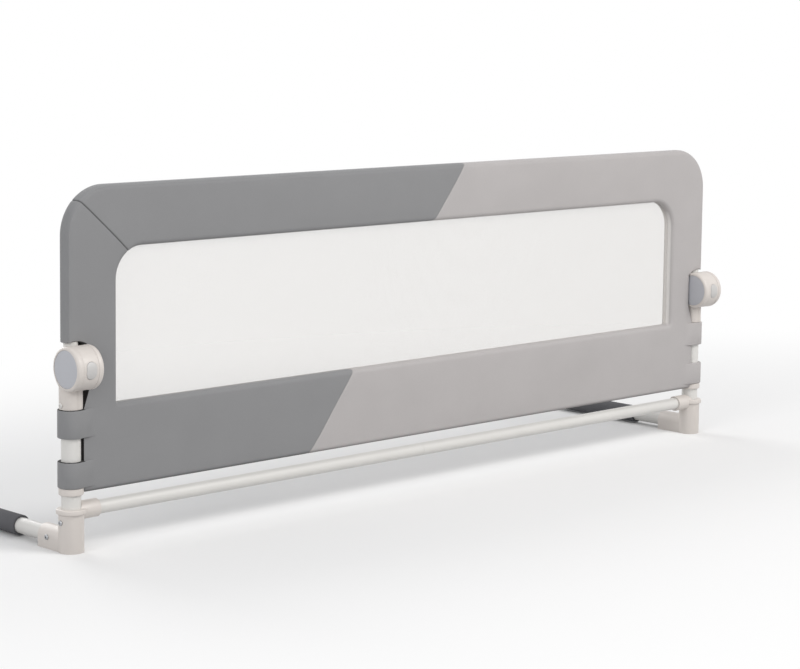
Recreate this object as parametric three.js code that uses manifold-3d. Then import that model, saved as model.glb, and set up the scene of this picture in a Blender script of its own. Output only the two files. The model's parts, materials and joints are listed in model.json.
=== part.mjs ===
// Folding bed guard rail: a padded fabric rail on a steel tube frame, whose upper part swings outwards
// and down about two side hubs. X runs along the rail, -Y faces away from the bed, +Z is up, and Z 0 is
// the level that the arms rest on. All lengths are in millimetres.

import * as THREE from 'three';
import { mergeGeometries, mergeVertices } from 'three/addons/utils/BufferGeometryUtils.js';
import Module from 'manifold-3d';

const wasm = await Module();
wasm.setup();

// Driving dimensions
const railLength = 1500;
const coverHeight = 464;
const coverThickness = 26;
const topBand = 96;
const bottomBand = 130;
const sideBand = 91.5;
const coverBottomHeight = 90;
const outerCornerRadius = 75;
const windowCornerRadius = 50;
const upperTubeDiameter = 22;
const postDiameter = 30;
const crossbarDiameter = 22;
const armDiameter = 25;
const armLength = 380;
const tubeWall = 1.5;
const hubDiameter = 68;
const hubWidth = 48;
const hubRise = 193;
const hubForward = 20;
const buttonTravel = 4;

// Clearance between pieces that meet, overrun of a cut past a face, and weld distance of a mesh
const gap = 0.3;
const overrun = 3;
const weld = 0.0001;

// Counts of facets
const roundSides = 20;
const tubeSides = 16;
const screwSides = 6;
const pegSides = 6;
const hexagonSides = 6;
const arcSides = 4;
const grooveSides = 8;
const wallSides = 5;
const bendSteps = 7;
const rimSteps = 2;

// Places worked out from the driving dimensions
const coverHalf = coverThickness / 2;
const hubX = railLength / 2 - coverHalf;
const axisZ = coverBottomHeight + hubRise;
const coverTop = coverBottomHeight + coverHeight;
const tubeTopZ = coverTop - coverHalf;
const windowX = railLength / 2 - sideBand;
const windowTop = coverTop - topBand;
const windowBottom = coverBottomHeight + bottomBand;
const tubeRadius = upperTubeDiameter / 2;
const postRadius = postDiameter / 2;
const crossbarRadius = crossbarDiameter / 2;
const armRadius = armDiameter / 2;
const hubRadius = hubDiameter / 2;

// Finishes
function paint(color, roughness, metalness) {
  return new THREE.MeshStandardMaterial({ color, roughness, metalness });
}

const whiteSteel = paint(0xe4e0dc, 0.35, 0.1);
const whitePlastic = paint(0xe3ddd8, 0.4, 0);
const bluishPlastic = paint(0xb4b8c0, 0.45, 0);
const zincSteel = paint(0xb0b2b5, 0.35, 0.9);
const rubber = paint(0x4a4a4c, 0.8, 0);
const foam = paint(0x5c5c5f, 0.9, 0);
const darkFabric = paint(0x8f8f90, 0.95, 0);
const lightFabric = paint(0xbcb8b7, 0.95, 0);
const netting = paint(0xf2f1ef, 0.9, 0);

// Volume of a mesh, negative when its faces point in
function signedVolume(points, triangles) {
  const a = new THREE.Vector3();
  const b = new THREE.Vector3();
  const c = new THREE.Vector3();
  let total = 0;
  for (let i = 0; i < triangles.length; i += 3) {
    a.fromArray(points, triangles[i] * 3);
    b.fromArray(points, triangles[i + 1] * 3);
    c.fromArray(points, triangles[i + 2] * 3);
    total += a.dot(b.cross(c)) / 6;
  }
  return total;
}

// Closed solid of a geometry, with its vertices welded and its faces pointing out
function toSolid(geometry) {
  const bare = geometry.clone();
  bare.deleteAttribute('normal');
  bare.deleteAttribute('uv');
  const welded = mergeVertices(bare, weld);
  const index = welded.index.array;
  const kept = [];
  for (let i = 0; i < index.length; i += 3) {
    const [a, b, c] = [index[i], index[i + 1], index[i + 2]];
    if (a !== b && b !== c && c !== a) kept.push(a, b, c);
  }
  const vertProperties = Float32Array.from(welded.attributes.position.array);
  const triVerts = Uint32Array.from(kept);
  if (signedVolume(vertProperties, triVerts) < 0) triVerts.reverse();
  return new wasm.Manifold(new wasm.Mesh({ numProp: 3, vertProperties, triVerts }));
}

function toGeometry(solid) {
  const mesh = solid.getMesh();
  const geometry = new THREE.BufferGeometry();
  geometry.setAttribute('position', new THREE.BufferAttribute(mesh.vertProperties, 3));
  geometry.setIndex(new THREE.BufferAttribute(mesh.triVerts, 1));
  return geometry;
}

const join = (...pieces) => toGeometry(pieces.map(toSolid).reduce((a, b) => a.add(b)));
const common = (a, b) => toGeometry(toSolid(a).intersect(toSolid(b)));

function cut(piece, ...tools) {
  return toGeometry(tools.map(toSolid).reduce((a, b) => a.subtract(b), toSolid(piece)));
}

// Mirror image in the plane X 0, kept with its faces pointing out
function mirrored(geometry) {
  const image = geometry.clone().applyMatrix4(new THREE.Matrix4().makeScale(-1, 1, 1));
  return toGeometry(toSolid(image));
}

const handed = (geometry, side) => (side < 0 ? mirrored(geometry) : geometry);

// Turn a geometry made about the Y axis to another axis
function turnTo(axis, geometry) {
  if (axis === 'x') return geometry.rotateZ(-Math.PI / 2);
  if (axis === 'z') return geometry.rotateX(Math.PI / 2);
  return geometry;
}

// Revolved body from a profile of [radius, height] pairs
function turned(axis, profile, sides = roundSides) {
  const points = profile.map(([r, h]) => new THREE.Vector2(r, h));
  return turnTo(axis, new THREE.LatheGeometry(points, sides));
}

// Revolved body whose profile closes on itself round a bore
const turnedRing = (axis, profile, sides) => turned(axis, [...profile, profile[0]], sides);

function rod(axis, radius, from, to, sides = roundSides) {
  return turned(axis, [[0, from], [radius, from], [radius, to], [0, to]], sides);
}

function pipe(axis, outer, inner, from, to, sides = tubeSides) {
  return turnedRing(axis, [[inner, from], [outer, from], [outer, to], [inner, to]], sides);
}

function block(fromX, toX, fromY, toY, fromZ, toZ) {
  const box = new THREE.BoxGeometry(toX - fromX, toY - fromY, toZ - fromZ);
  return box.translate((fromX + toX) / 2, (fromY + toY) / 2, (fromZ + toZ) / 2);
}

// Prism of an outline: drawn in YZ and run along X, drawn in XZ and run along Y, or drawn in XY
function prism(axis, shape, from, to, sides = arcSides, round = 0) {
  const geometry = new THREE.ExtrudeGeometry(shape, {
    depth: to - from - 2 * round,
    curveSegments: sides,
    bevelEnabled: round > 0,
    bevelThickness: round,
    bevelSize: round,
    bevelOffset: -round,
    bevelSegments: rimSteps,
  });
  geometry.translate(0, 0, from + round);
  const y = new THREE.Vector3(0, 1, 0);
  const z = new THREE.Vector3(0, 0, 1);
  const x = new THREE.Vector3(1, 0, 0);
  if (axis === 'x') geometry.applyMatrix4(new THREE.Matrix4().makeBasis(y, z, x));
  if (axis === 'y') geometry.applyMatrix4(new THREE.Matrix4().makeBasis(x, z, y));
  return toGeometry(toSolid(geometry));
}

const circle = (x, y, radius) => new THREE.Shape().absarc(x, y, radius, 0, 2 * Math.PI);

// Ring sector between two radii and two angles
function sector(inner, outer, from, to) {
  const shape = new THREE.Shape();
  shape.absarc(0, 0, outer, from, to, false);
  shape.absarc(0, 0, inner, to, from, true);
  return shape;
}

// Angle from the direction of a point to the tangent that it draws to a circle about the origin
const tangentAngle = (x, y, radius) => Math.acos(radius / Math.hypot(x, y));

// Pan head screw along an axis, head towards plus, with its seat at height 0
function panScrew(axis, headRadius, headHeight, shankRadius, shankLength) {
  const profile = [
    [0, -shankLength],
    [shankRadius, -shankLength],
    [shankRadius, 0],
    [headRadius, 0],
    [headRadius, headHeight / 2],
    [headRadius - headHeight / 2, headHeight],
    [0, headHeight],
  ];
  return turned(axis, profile, screwSides);
}

function add(parent, name, geometry, material) {
  const mesh = new THREE.Mesh(geometry, material);
  mesh.name = name;
  parent.add(mesh);
  return mesh;
}

const hands = { left: -1, right: 1 };

// Tube frame of the upper part

const tubeSeat = 8;
const tubeJointX = 250;
const tubeJointOverlap = 45;
const tubeBendRadius = outerCornerRadius - coverHalf;
const jointScrewHead = 3.6;
const jointScrewShank = 1.8;
const jointScrewLand = 0.4;
const jointScrewSink = 0.8;
const jointScrewReach = 6;

// Straight leg, quarter bend and straight top of the frame, stepped at their ends and round the bend
class FramePath extends THREE.Curve {
  constructor(legX, legBottom, top, bend, endX) {
    super();
    this.legX = legX;
    this.legBottom = legBottom;
    this.top = top;
    this.bend = bend;
    this.endX = endX;
    this.inward = legX < endX ? 1 : -1;
    this.straightShare = 1 / (bendSteps + 2);
  }

  // Share of the bend passed at t, under 0 on the leg and over 1 on the top
  bendShare(t) {
    return (t - this.straightShare) / (1 - 2 * this.straightShare);
  }

  getPoint(t) {
    const share = this.bendShare(t);
    const bendZ = this.top - this.bend;
    const bendX = this.legX + this.inward * this.bend;
    if (share <= 0) {
      const z = THREE.MathUtils.lerp(this.legBottom, bendZ, t / this.straightShare);
      return new THREE.Vector3(this.legX, 0, z);
    }
    if (share >= 1) {
      const x = THREE.MathUtils.lerp(this.endX, bendX, (1 - t) / this.straightShare);
      return new THREE.Vector3(x, 0, this.top);
    }
    const turn = share * Math.PI / 2;
    const x = bendX - this.inward * this.bend * Math.cos(turn);
    return new THREE.Vector3(x, 0, bendZ + this.bend * Math.sin(turn));
  }

  getTangent(t) {
    const turn = THREE.MathUtils.clamp(this.bendShare(t), 0, 1) * Math.PI / 2;
    return new THREE.Vector3(this.inward * Math.sin(turn), 0, Math.cos(turn));
  }

  getPointAt(u) {
    return this.getPoint(u);
  }

  getTangentAt(u) {
    return this.getTangent(u);
  }
}

// Tube or rod along the frame path of one side, ending at the given X
function alongFrame(side, legBottom, endX, outer, inner) {
  const path = new FramePath(side * hubX, legBottom, tubeTopZ, tubeBendRadius, endX);
  const shape = circle(0, 0, outer);
  if (inner > 0) shape.holes.push(circle(0, 0, inner));
  return new THREE.ExtrudeGeometry(shape, {
    steps: bendSteps + 2,
    extrudePath: path,
    curveSegments: tubeSides / 2,
  });
}

// Countersunk screw that enters a tube of the given radius from behind, grown by a clearance for its hole
function jointScrew(radius, clearance) {
  const seat = radius - jointScrewSink;
  const headDepth = jointScrewHead - jointScrewShank;
  const profile = [
    [0, seat - jointScrewReach],
    [jointScrewShank + clearance, seat - jointScrewReach],
    [jointScrewShank + clearance, seat - jointScrewLand - headDepth - clearance],
    [jointScrewHead + clearance, seat - jointScrewLand - clearance],
    [jointScrewHead + clearance, seat + clearance * overrun],
    [0, seat + clearance * overrun],
  ];
  return turned('y', profile, screwSides);
}

// Tube along X with one or both ends drawn down to enter a plain tube
function drawnTube(radius, from, to, drawnFrom, drawnTo) {
  const neck = radius - tubeWall - gap;
  const inner = radius - tubeWall;
  const neckInner = neck - tubeWall;
  const profile = [];
  if (drawnFrom < from) {
    profile.push([neckInner, from + tubeWall], [neckInner, drawnFrom], [neck, drawnFrom], [neck, from]);
  } else {
    profile.push([inner, from]);
  }
  profile.push([radius, from], [radius, to]);
  if (drawnTo > to) {
    profile.push([neck, to], [neck, drawnTo], [neckInner, drawnTo]);
    profile.push([neckInner, to - tubeWall], [inner, to - tubeWall]);
  } else {
    profile.push([inner, to]);
  }
  if (drawnFrom < from) profile.push([inner, from + tubeWall]);
  return turnedRing('x', profile, tubeSides);
}

function upperTubes(parent) {
  const screwX = tubeJointX + tubeJointOverlap / 2;
  const inner = tubeRadius - tubeWall;
  const end = tubeJointX + tubeJointOverlap;
  let centre = drawnTube(tubeRadius, -tubeJointX + gap, tubeJointX - gap, -end, end);
  for (const [name, side] of Object.entries(hands)) {
    const hole = jointScrew(tubeRadius, gap).translate(side * screwX, 0, 0);
    centre = cut(centre, hole);
    const tube = alongFrame(side, axisZ + tubeSeat, side * tubeJointX, tubeRadius, inner);
    const holeAtTop = hole.clone().translate(0, 0, tubeTopZ);
    const legHole = rod('y', coreScrewShank + gap, 0, tubeRadius + overrun, screwSides);
    legHole.translate(side * hubX, 0, axisZ + coreScrewRise);
    add(parent, `upper_tube_${name}`, cut(tube, holeAtTop, legHole), whiteSteel);
    const screw = add(parent, `tube_screw_${name}`, jointScrew(tubeRadius, 0), zincSteel);
    screw.position.set(side * screwX, 0, tubeTopZ);
  }
  add(parent, 'upper_tube_centre', centre, whiteSteel).position.z = tubeTopZ;
}

// Hub core: the slice that swings, holds the tube leg and carries the button

const cheekThickness = 10;
const coreRadius = hubRadius - gap;
const coreHalf = hubWidth / 2 - cheekThickness - gap;
const pivotRadius = 5;
const bossRise = 28;
const bossWall = 2;
const stopRise = 12;
const stopDepth = 36;
const coreScrewRise = 24;
const coreScrewShank = 2;
const coreScrewHead = 3.5;
const coreScrewHeadHeight = 2;
const coreScrewLength = 9;

// Button and lock bar, in a frame at the hub's axis with -Y to the front
const buttonWidth = 18.4;
const buttonHeight = 26.4;
const buttonProud = 0.8;
const buttonBack = 18.7;
const barThickness = 2.4;
const barFront = 27.5;
const barBack = 20.5;
const barEntry = 5;
const springRadius = 4;
const springWire = 0.8;
const springTurns = 4;
const springSeat = 9.2;

function ovalShape(width, height) {
  const half = width / 2;
  const straight = height / 2 - half;
  const shape = new THREE.Shape();
  shape.absarc(0, straight, half, 0, Math.PI, false);
  shape.absarc(0, -straight, half, Math.PI, 2 * Math.PI, false);
  return shape;
}

function coreBoss() {
  const radius = tubeRadius + gap + bossWall;
  const shape = new THREE.Shape();
  shape.absarc(0, hubForward, radius, Math.PI, 2 * Math.PI, false);
  shape.lineTo(radius, stopDepth);
  shape.lineTo(-radius, stopDepth);
  return prism('z', shape, stopRise + gap, bossRise);
}

function hubCore() {
  const bore = pivotRadius + gap;
  const disc = pipe('x', coreRadius, bore, -coreHalf, coreHalf, roundSides);
  const tubeBore = rod('z', tubeRadius + gap, tubeSeat - gap, hubRadius + overrun, tubeSides);
  const pocketShape = ovalShape(buttonWidth + 2 * gap, buttonHeight + 2 * gap);
  const pocketBack = buttonBack - buttonTravel - gap;
  const pocket = prism('y', pocketShape, -coreRadius - overrun, -pocketBack);
  const springPocket = rod('y', springRadius + springWire, -pocketBack - overrun, -springSeat, tubeSides);
  const slotHalf = barThickness / 2 + gap;
  const slotReach = coreHalf + overrun;
  const slotBack = barBack - buttonTravel - gap;
  const slot = block(-slotReach, slotReach, -barFront - gap, -slotBack, -slotHalf, slotHalf);
  const screwHole = rod('y', coreScrewShank + gap, hubForward, stopDepth + overrun, screwSides);
  screwHole.translate(0, 0, coreScrewRise);
  tubeBore.translate(0, hubForward, 0);
  return cut(join(disc, coreBoss()), tubeBore, pocket, springPocket, slot, screwHole);
}

function releaseButton() {
  const face = rod('x', coreRadius + buttonProud, -coreHalf, coreHalf, 2 * roundSides);
  const oval = ovalShape(buttonWidth, buttonHeight);
  const body = prism('y', oval, -hubRadius - overrun, -buttonBack, arcSides + 2);
  const slotHalf = barThickness / 2 + gap;
  const slot = block(-buttonWidth, buttonWidth, -barFront - gap, -barBack + gap, -slotHalf, slotHalf);
  return cut(common(body, face), slot);
}

function lockBar() {
  const reach = hubWidth / 2 - cheekThickness + barEntry;
  return block(-reach, reach, -barFront, -barBack, -barThickness / 2, barThickness / 2);
}

// Coil of round wire about the Y axis, written as rings of points on a helix and closed at both ends
function coilSpring(radius, wire, turns, from, to) {
  const stepsPerTurn = 8;
  const ringSides = 5;
  const steps = stepsPerTurn * turns;
  const rise = (to - from - wire) / steps;
  const points = [];
  for (let i = 0; i <= steps; i++) {
    const turn = i * 2 * Math.PI / stepsPerTurn;
    for (let k = 0; k < ringSides; k++) {
      const around = k * 2 * Math.PI / ringSides;
      const r = radius + Math.cos(around) * wire / 2;
      const y = from + wire / 2 + i * rise + Math.sin(around) * wire / 2;
      points.push(r * Math.cos(turn), y, r * Math.sin(turn));
    }
  }
  const index = [];
  for (let i = 0; i < steps; i++) {
    for (let k = 0; k < ringSides; k++) {
      const a = i * ringSides + k;
      const b = i * ringSides + (k + 1) % ringSides;
      index.push(a, b, a + ringSides, b, b + ringSides, a + ringSides);
    }
  }
  const last = steps * ringSides;
  for (let k = 1; k < ringSides - 1; k++) {
    index.push(0, k + 1, k, last, last + k, last + k + 1);
  }
  const geometry = new THREE.BufferGeometry();
  geometry.setAttribute('position', new THREE.Float32BufferAttribute(points, 3));
  geometry.setIndex(index);
  return toGeometry(toSolid(geometry));
}

// Hub housing: two halves with cheek, half socket whose ears run up into the cheeks, and a rear wall that
// the core's boss stops on

const cheekRound = 5;
const capRecess = 1.6;
const capDome = 0.8;
const capEdge = 0.4;
const capPegRadius = 1.6;
const capPegPlace = 12;
const capPegLength = 4;
const capPegs = 3;
const boltHeadRadius = 8;
const boltHeadHeight = 2.6;
const grooveInner = 15.8;
const grooveOuter = 28.3;
const toothInner = 24;
const toothFrom = THREE.MathUtils.degToRad(3.9);
const toothTo = THREE.MathUtils.degToRad(11.1);
const socketRadius = 18;
const socketDrop = 64;
const socketTop = 38;
const socketEarDrop = 18;
const wallThickness = 4;
const wallEnd = THREE.MathUtils.degToRad(-65);
const wallLap = 4;
const housingScrewDrop = 57.5;
const housingScrewShank = 2.2;
const housingScrewHead = 4;
const housingScrewHeadHeight = 2.2;

const cheekIn = hubWidth / 2 - cheekThickness;
const cheekOut = hubWidth / 2;
const capRadius = hubRadius - cheekRound;
const capFloor = cheekOut - capRecess;
const boltSeat = capFloor - boltHeadHeight - 2 * gap;
const sweepRadius = Math.max(hubRadius, coreRadius + buttonProud) + gap;

// Cheek disc with its rounded rim, cap recess, bolt head recess and pivot bore
function cheekDisc() {
  const profile = [[pivotRadius + gap, cheekIn], [hubRadius, cheekIn]];
  for (let i = 0; i <= rimSteps; i++) {
    const turn = i * Math.PI / 2 / rimSteps;
    const r = capRadius + cheekRound * Math.cos(turn);
    profile.push([r, cheekOut - cheekRound + cheekRound * Math.sin(turn)]);
  }
  profile.push([capRadius, capFloor]);
  profile.push([boltHeadRadius + gap, capFloor]);
  profile.push([boltHeadRadius + gap, boltSeat]);
  profile.push([pivotRadius + gap, boltSeat]);
  return turnedRing('x', profile, roundSides);
}

// Half ring that the lock bar's end runs in, closed at the ends of its swing
function barGroove() {
  const rim = barThickness / 2 + gap;
  const outerTurn = Math.asin(rim / grooveOuter);
  const innerTurn = Math.asin(rim / grooveInner);
  const shape = new THREE.Shape();
  shape.absarc(0, 0, grooveOuter, Math.PI - outerTurn, 2 * Math.PI + outerTurn, false);
  shape.absarc(0, 0, grooveInner, 2 * Math.PI + innerTurn, Math.PI - innerTurn, true);
  return prism('x', shape, cheekIn - overrun, cheekIn + barEntry + gap, grooveSides);
}

// Tooth that holds the bar until the button draws it inwards
function lockTooth() {
  const shape = sector(toothInner, grooveOuter + gap, Math.PI + toothFrom, Math.PI + toothTo);
  return prism('x', shape, cheekIn, cheekIn + barEntry + 2 * gap, 1);
}

// Wall behind the core, from the socket up to the stop
function rearWall() {
  const inner = sweepRadius;
  const outer = inner + wallThickness;
  const rise = Math.asin(stopRise / outer) + wallLap * Math.PI / roundSides;
  const side = cheekIn + wallLap;
  const span = prism('x', sector(inner, outer, wallEnd, rise), gap / 2, side, wallSides);
  const lap = prism('x', sector(inner - wallLap, outer, wallEnd, rise), cheekIn, side, wallSides);
  const above = block(-hubWidth, hubWidth, 0, 2 * outer, stopRise, hubRadius + outer);
  return cut(join(span, lap), above);
}

function housingHalf() {
  const socket = rod('z', socketRadius, -socketDrop, -socketEarDrop).translate(0, hubForward, 0);
  const sweep = rod('x', sweepRadius, -cheekIn, cheekIn, 2 * roundSides);
  const otherHalf = block(-hubWidth, gap / 2, -hubWidth, 2 * hubWidth, -2 * socketDrop, 2 * hubRadius);
  const postBore = rod('z', postRadius + gap, -socketDrop - overrun, -socketTop);
  postBore.translate(0, hubForward, 0);
  const screwHole = rod('x', housingScrewShank + gap, 0, hubWidth, screwSides);
  screwHole.translate(0, hubForward, -housingScrewDrop);
  const boltBore = rod('x', pivotRadius + gap, 0, boltSeat + gap, roundSides);
  const groove = cut(barGroove(), lockTooth());
  const cheek = cut(join(cheekDisc(), cut(socket, sweep)), groove);
  const body = join(cheek, rearWall());
  const pegHoles = pegRing(capPegRadius + gap, capFloor - capPegLength, cheekOut);
  return cut(body, otherHalf, postBore, screwHole, boltBore, ...pegHoles);
}

function pegRing(radius, from, to) {
  const pegs = [];
  for (let i = 0; i < capPegs; i++) {
    const turn = Math.PI / 2 + i * 2 * Math.PI / capPegs;
    const peg = rod('x', radius, from, to, pegSides);
    pegs.push(peg.translate(0, capPegPlace * Math.cos(turn), capPegPlace * Math.sin(turn)));
  }
  return pegs;
}

function hubCap() {
  const radius = capRadius - gap;
  const profile = [
    [0, capFloor + gap],
    [radius, capFloor + gap],
    [radius, cheekOut - capEdge],
    [radius - capEdge, cheekOut],
    [0, cheekOut + capDome],
  ];
  const disc = turned('x', profile, roundSides);
  return join(disc, ...pegRing(capPegRadius, capFloor - capPegLength + gap, capFloor + 2 * gap));
}

function pivotBolt() {
  const seat = boltSeat + gap;
  const profile = [
    [0, -seat - boltHeadHeight],
    [pivotRadius, -seat - boltHeadHeight],
    [pivotRadius, seat],
    [boltHeadRadius, seat],
    [boltHeadRadius, seat + boltHeadHeight - gap],
    [boltHeadRadius - gap, seat + boltHeadHeight],
    [0, seat + boltHeadHeight],
  ];
  return turned('x', profile, tubeSides);
}

function pivotNut() {
  const seat = boltSeat + gap;
  const hexagon = rod('x', boltHeadRadius, -seat - boltHeadHeight, -seat, hexagonSides);
  return cut(hexagon, rod('x', pivotRadius + gap, -hubWidth, hubWidth, tubeSides));
}

function hub(parent, name, side) {
  const group = new THREE.Group();
  group.position.set(side * hubX, -hubForward, axisZ);
  parent.add(group);
  const half = housingHalf();
  const cap = hubCap();
  add(group, `hub_housing_outer_${name}`, handed(half, side), whitePlastic);
  add(group, `hub_housing_inner_${name}`, handed(half, -side), whitePlastic);
  add(group, `hub_cap_outer_${name}`, handed(cap, side), bluishPlastic);
  add(group, `hub_cap_inner_${name}`, handed(cap, -side), bluishPlastic);
  add(group, `hub_core_${name}`, hubCore(), whitePlastic);
  add(group, `release_button_${name}`, releaseButton(), bluishPlastic);
  add(group, `lock_bar_${name}`, lockBar(), zincSteel);
  const springFrom = -buttonBack + gap;
  const spring = coilSpring(springRadius, springWire, springTurns, springFrom, -springSeat - gap);
  add(group, `button_spring_${name}`, spring, zincSteel);
  add(group, `pivot_bolt_${name}`, handed(pivotBolt(), side), zincSteel);
  add(group, `pivot_nut_${name}`, handed(pivotNut(), side), zincSteel);
  const coreScrew = panScrew('y', coreScrewHead, coreScrewHeadHeight, coreScrewShank, coreScrewLength);
  add(group, `core_screw_${name}`, coreScrew, zincSteel).position.set(0, stopDepth + gap, coreScrewRise);
  const length = 2 * socketRadius;
  const clamp = panScrew('x', housingScrewHead, housingScrewHeadHeight, housingScrewShank, length);
  const clampMesh = add(group, `housing_screw_${name}`, handed(clamp, side), zincSteel);
  clampMesh.position.set(side * (socketRadius + gap), hubForward, -housingScrewDrop);
}

// Base: posts, collars, corner pieces, arms and crossbar

const collarRadius = 19;
const collarHeight = 11;
const collarDrop = 1.8;
const collarRound = 1.5;
const flangeRadius = 23;
const flangeHeight = 7;
const flangeDrop = 23;
const flangeRound = 2;
const bodyRadius = 19.5;
const postSeat = 34;
const armAxisZ = 18;
const armSeat = 8;
const armSocketLength = 64;
const armSocketWall = 4;
const armScrewShare = 5 / 8;
const crossbarDrop = 28;
const crossbarSeat = 20;
const crossbarSocketLength = 46;
const crossbarSocketWall = 3.2;
const crossbarScrewShare = 3 / 4;
const crossbarOverlap = 50;
const cornerScrewShank = 2.2;
const cornerScrewHead = 4.2;
const cornerScrewHeadHeight = 2.4;
const cornerScrewLength = 9;
const gripLength = 190;
const gripWall = 3.2;
const gripFromEnd = 60;
const endCapWall = 5;
const endCapLength = 34;

const crossbarZ = coverBottomHeight - crossbarDrop;
const flangeTop = coverBottomHeight - flangeDrop;
const postScrewZ = (postSeat + flangeTop - flangeHeight) / 2;
const armScrewY = armSocketLength * armScrewShare;
const crossbarScrewX = crossbarSocketLength * crossbarScrewShare;

function lowerPost() {
  const top = axisZ - socketTop - gap;
  const tube = pipe('z', postRadius, postRadius - tubeWall, postSeat + gap, top, roundSides);
  const clampHole = rod('x', housingScrewShank + gap, -postDiameter, postDiameter, screwSides);
  clampHole.translate(0, 0, axisZ - housingScrewDrop);
  const footHole = rod('x', cornerScrewShank + gap, 0, postDiameter, screwSides);
  footHole.translate(0, 0, postScrewZ);
  return cut(tube, clampHole, footHole);
}

function postCollar() {
  const bottom = coverBottomHeight - collarDrop;
  const top = bottom + collarHeight;
  const inner = postRadius + gap;
  const profile = [
    [inner, bottom],
    [collarRadius - collarRound, bottom],
    [collarRadius, bottom + collarRound],
    [collarRadius, top - collarRound],
    [collarRadius - collarRound, top],
    [inner, top],
  ];
  return turnedRing('z', profile, tubeSides);
}

// Flat-bottomed outline with a round top, for the sole under the arm
function soleShape(radius) {
  const shape = new THREE.Shape();
  shape.moveTo(-radius, 0);
  shape.lineTo(radius, 0);
  shape.absarc(0, armAxisZ, radius, 0, Math.PI, false);
  return shape;
}

// Corner piece: a flanged socket for the post, a soled socket for the arm and a socket for the crossbar
function footConnector() {
  const bottom = flangeTop - flangeHeight;
  const bodyProfile = [
    [0, 0],
    [bodyRadius, 0],
    [bodyRadius, bottom],
    [flangeRadius - flangeRound, bottom],
    [flangeRadius, bottom + flangeRound],
    [flangeRadius, flangeTop - flangeRound],
    [flangeRadius - flangeRound, flangeTop],
    [0, flangeTop],
  ];
  const body = turned('z', bodyProfile, roundSides);
  const armSocket = prism('y', soleShape(armRadius + armSocketWall), 0, armSocketLength);
  const barRadius = crossbarRadius + crossbarSocketWall;
  const barSocket = rod('x', barRadius, -crossbarSocketLength, 0, tubeSides).translate(0, 0, crossbarZ);
  const postBore = rod('z', postRadius + gap, postSeat, coverBottomHeight);
  const armBore = rod('y', armRadius + gap, armSeat, armSocketLength + overrun, tubeSides);
  armBore.translate(0, 0, armAxisZ);
  const barBore = rod('x', crossbarRadius + gap, -crossbarSocketLength - overrun, -crossbarSeat, tubeSides);
  barBore.translate(0, 0, crossbarZ);
  const postHole = rod('x', cornerScrewShank + gap, 0, 2 * bodyRadius, screwSides);
  postHole.translate(0, 0, postScrewZ);
  const armHole = rod('x', cornerScrewShank + gap, 0, 2 * bodyRadius, screwSides);
  armHole.translate(0, armScrewY, armAxisZ);
  const barHole = rod('y', cornerScrewShank + gap, 0, 2 * barRadius, screwSides);
  barHole.translate(-crossbarScrewX, 0, crossbarZ);
  return cut(join(body, armSocket, barSocket), postBore, armBore, barBore, postHole, armHole, barHole);
}

function armTube() {
  const end = armLength - endCapWall - gap;
  const tube = pipe('y', armRadius, armRadius - tubeWall, armSeat + gap, end);
  const hole = rod('x', cornerScrewShank + gap, 0, armDiameter, screwSides).translate(0, armScrewY, 0);
  return cut(tube, hole);
}

function armGrip() {
  const to = armLength - gripFromEnd;
  const inner = armRadius + gap;
  return pipe('y', inner + gripWall, inner, to - gripLength, to);
}

function armEndCap() {
  const cap = prism('y', soleShape(armRadius + armSocketWall), armLength - endCapLength, armLength);
  const bore = rod('y', armRadius + gap, 0, armLength - endCapWall, tubeSides).translate(0, 0, armAxisZ);
  return cut(cap, bore);
}

function cornerScrew(axis) {
  return panScrew(axis, cornerScrewHead, cornerScrewHeadHeight, cornerScrewShank, cornerScrewLength);
}

function crossbars(parent) {
  const end = hubX - crossbarSeat - gap;
  const screwX = crossbarOverlap / 2;
  const screwHole = jointScrew(crossbarRadius, gap).translate(screwX, 0, 0);
  const fixing = rod('y', cornerScrewShank + gap, 0, crossbarDiameter, screwSides);
  const leftFixing = fixing.clone().translate(-hubX + crossbarScrewX, 0, 0);
  const rightFixing = fixing.clone().translate(hubX - crossbarScrewX, 0, 0);
  const plain = pipe('x', crossbarRadius, crossbarRadius - tubeWall, 0, end);
  const drawn = drawnTube(crossbarRadius, -end, -gap, -end, crossbarOverlap);
  add(parent, 'crossbar_right', cut(plain, screwHole, rightFixing), whiteSteel).position.z = crossbarZ;
  add(parent, 'crossbar_left', cut(drawn, screwHole, leftFixing), whiteSteel).position.z = crossbarZ;
  add(parent, 'crossbar_joint_screw', jointScrew(crossbarRadius, 0), zincSteel)
    .position.set(screwX, 0, crossbarZ);
}

function baseSide(parent, name, side) {
  const x = side * hubX;
  add(parent, `lower_post_${name}`, handed(lowerPost(), side), whiteSteel).position.x = x;
  add(parent, `post_collar_${name}`, postCollar(), whitePlastic).position.x = x;
  add(parent, `foot_connector_${name}`, handed(footConnector(), side), whitePlastic).position.x = x;
  add(parent, `arm_tube_${name}`, handed(armTube(), side), whiteSteel).position.set(x, 0, armAxisZ);
  add(parent, `arm_grip_${name}`, armGrip(), foam).position.set(x, 0, armAxisZ);
  add(parent, `arm_end_cap_${name}`, armEndCap(), rubber).position.x = x;
  const postScrew = add(parent, `post_screw_${name}`, handed(cornerScrew('x'), side), zincSteel);
  postScrew.position.set(x + side * (bodyRadius + gap), 0, postScrewZ);
  const armScrew = add(parent, `arm_screw_${name}`, handed(cornerScrew('x'), side), zincSteel);
  armScrew.position.set(x + side * (armRadius + armSocketWall + gap), armScrewY, armAxisZ);
  const barScrew = add(parent, `crossbar_screw_${name}`, cornerScrew('y'), zincSteel);
  const barRadius = crossbarRadius + crossbarSocketWall;
  barScrew.position.set(x - side * crossbarScrewX, barRadius + gap, crossbarZ);
}

// Padded fabric cover, split at the hinge line and at the slanting colour seam

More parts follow.
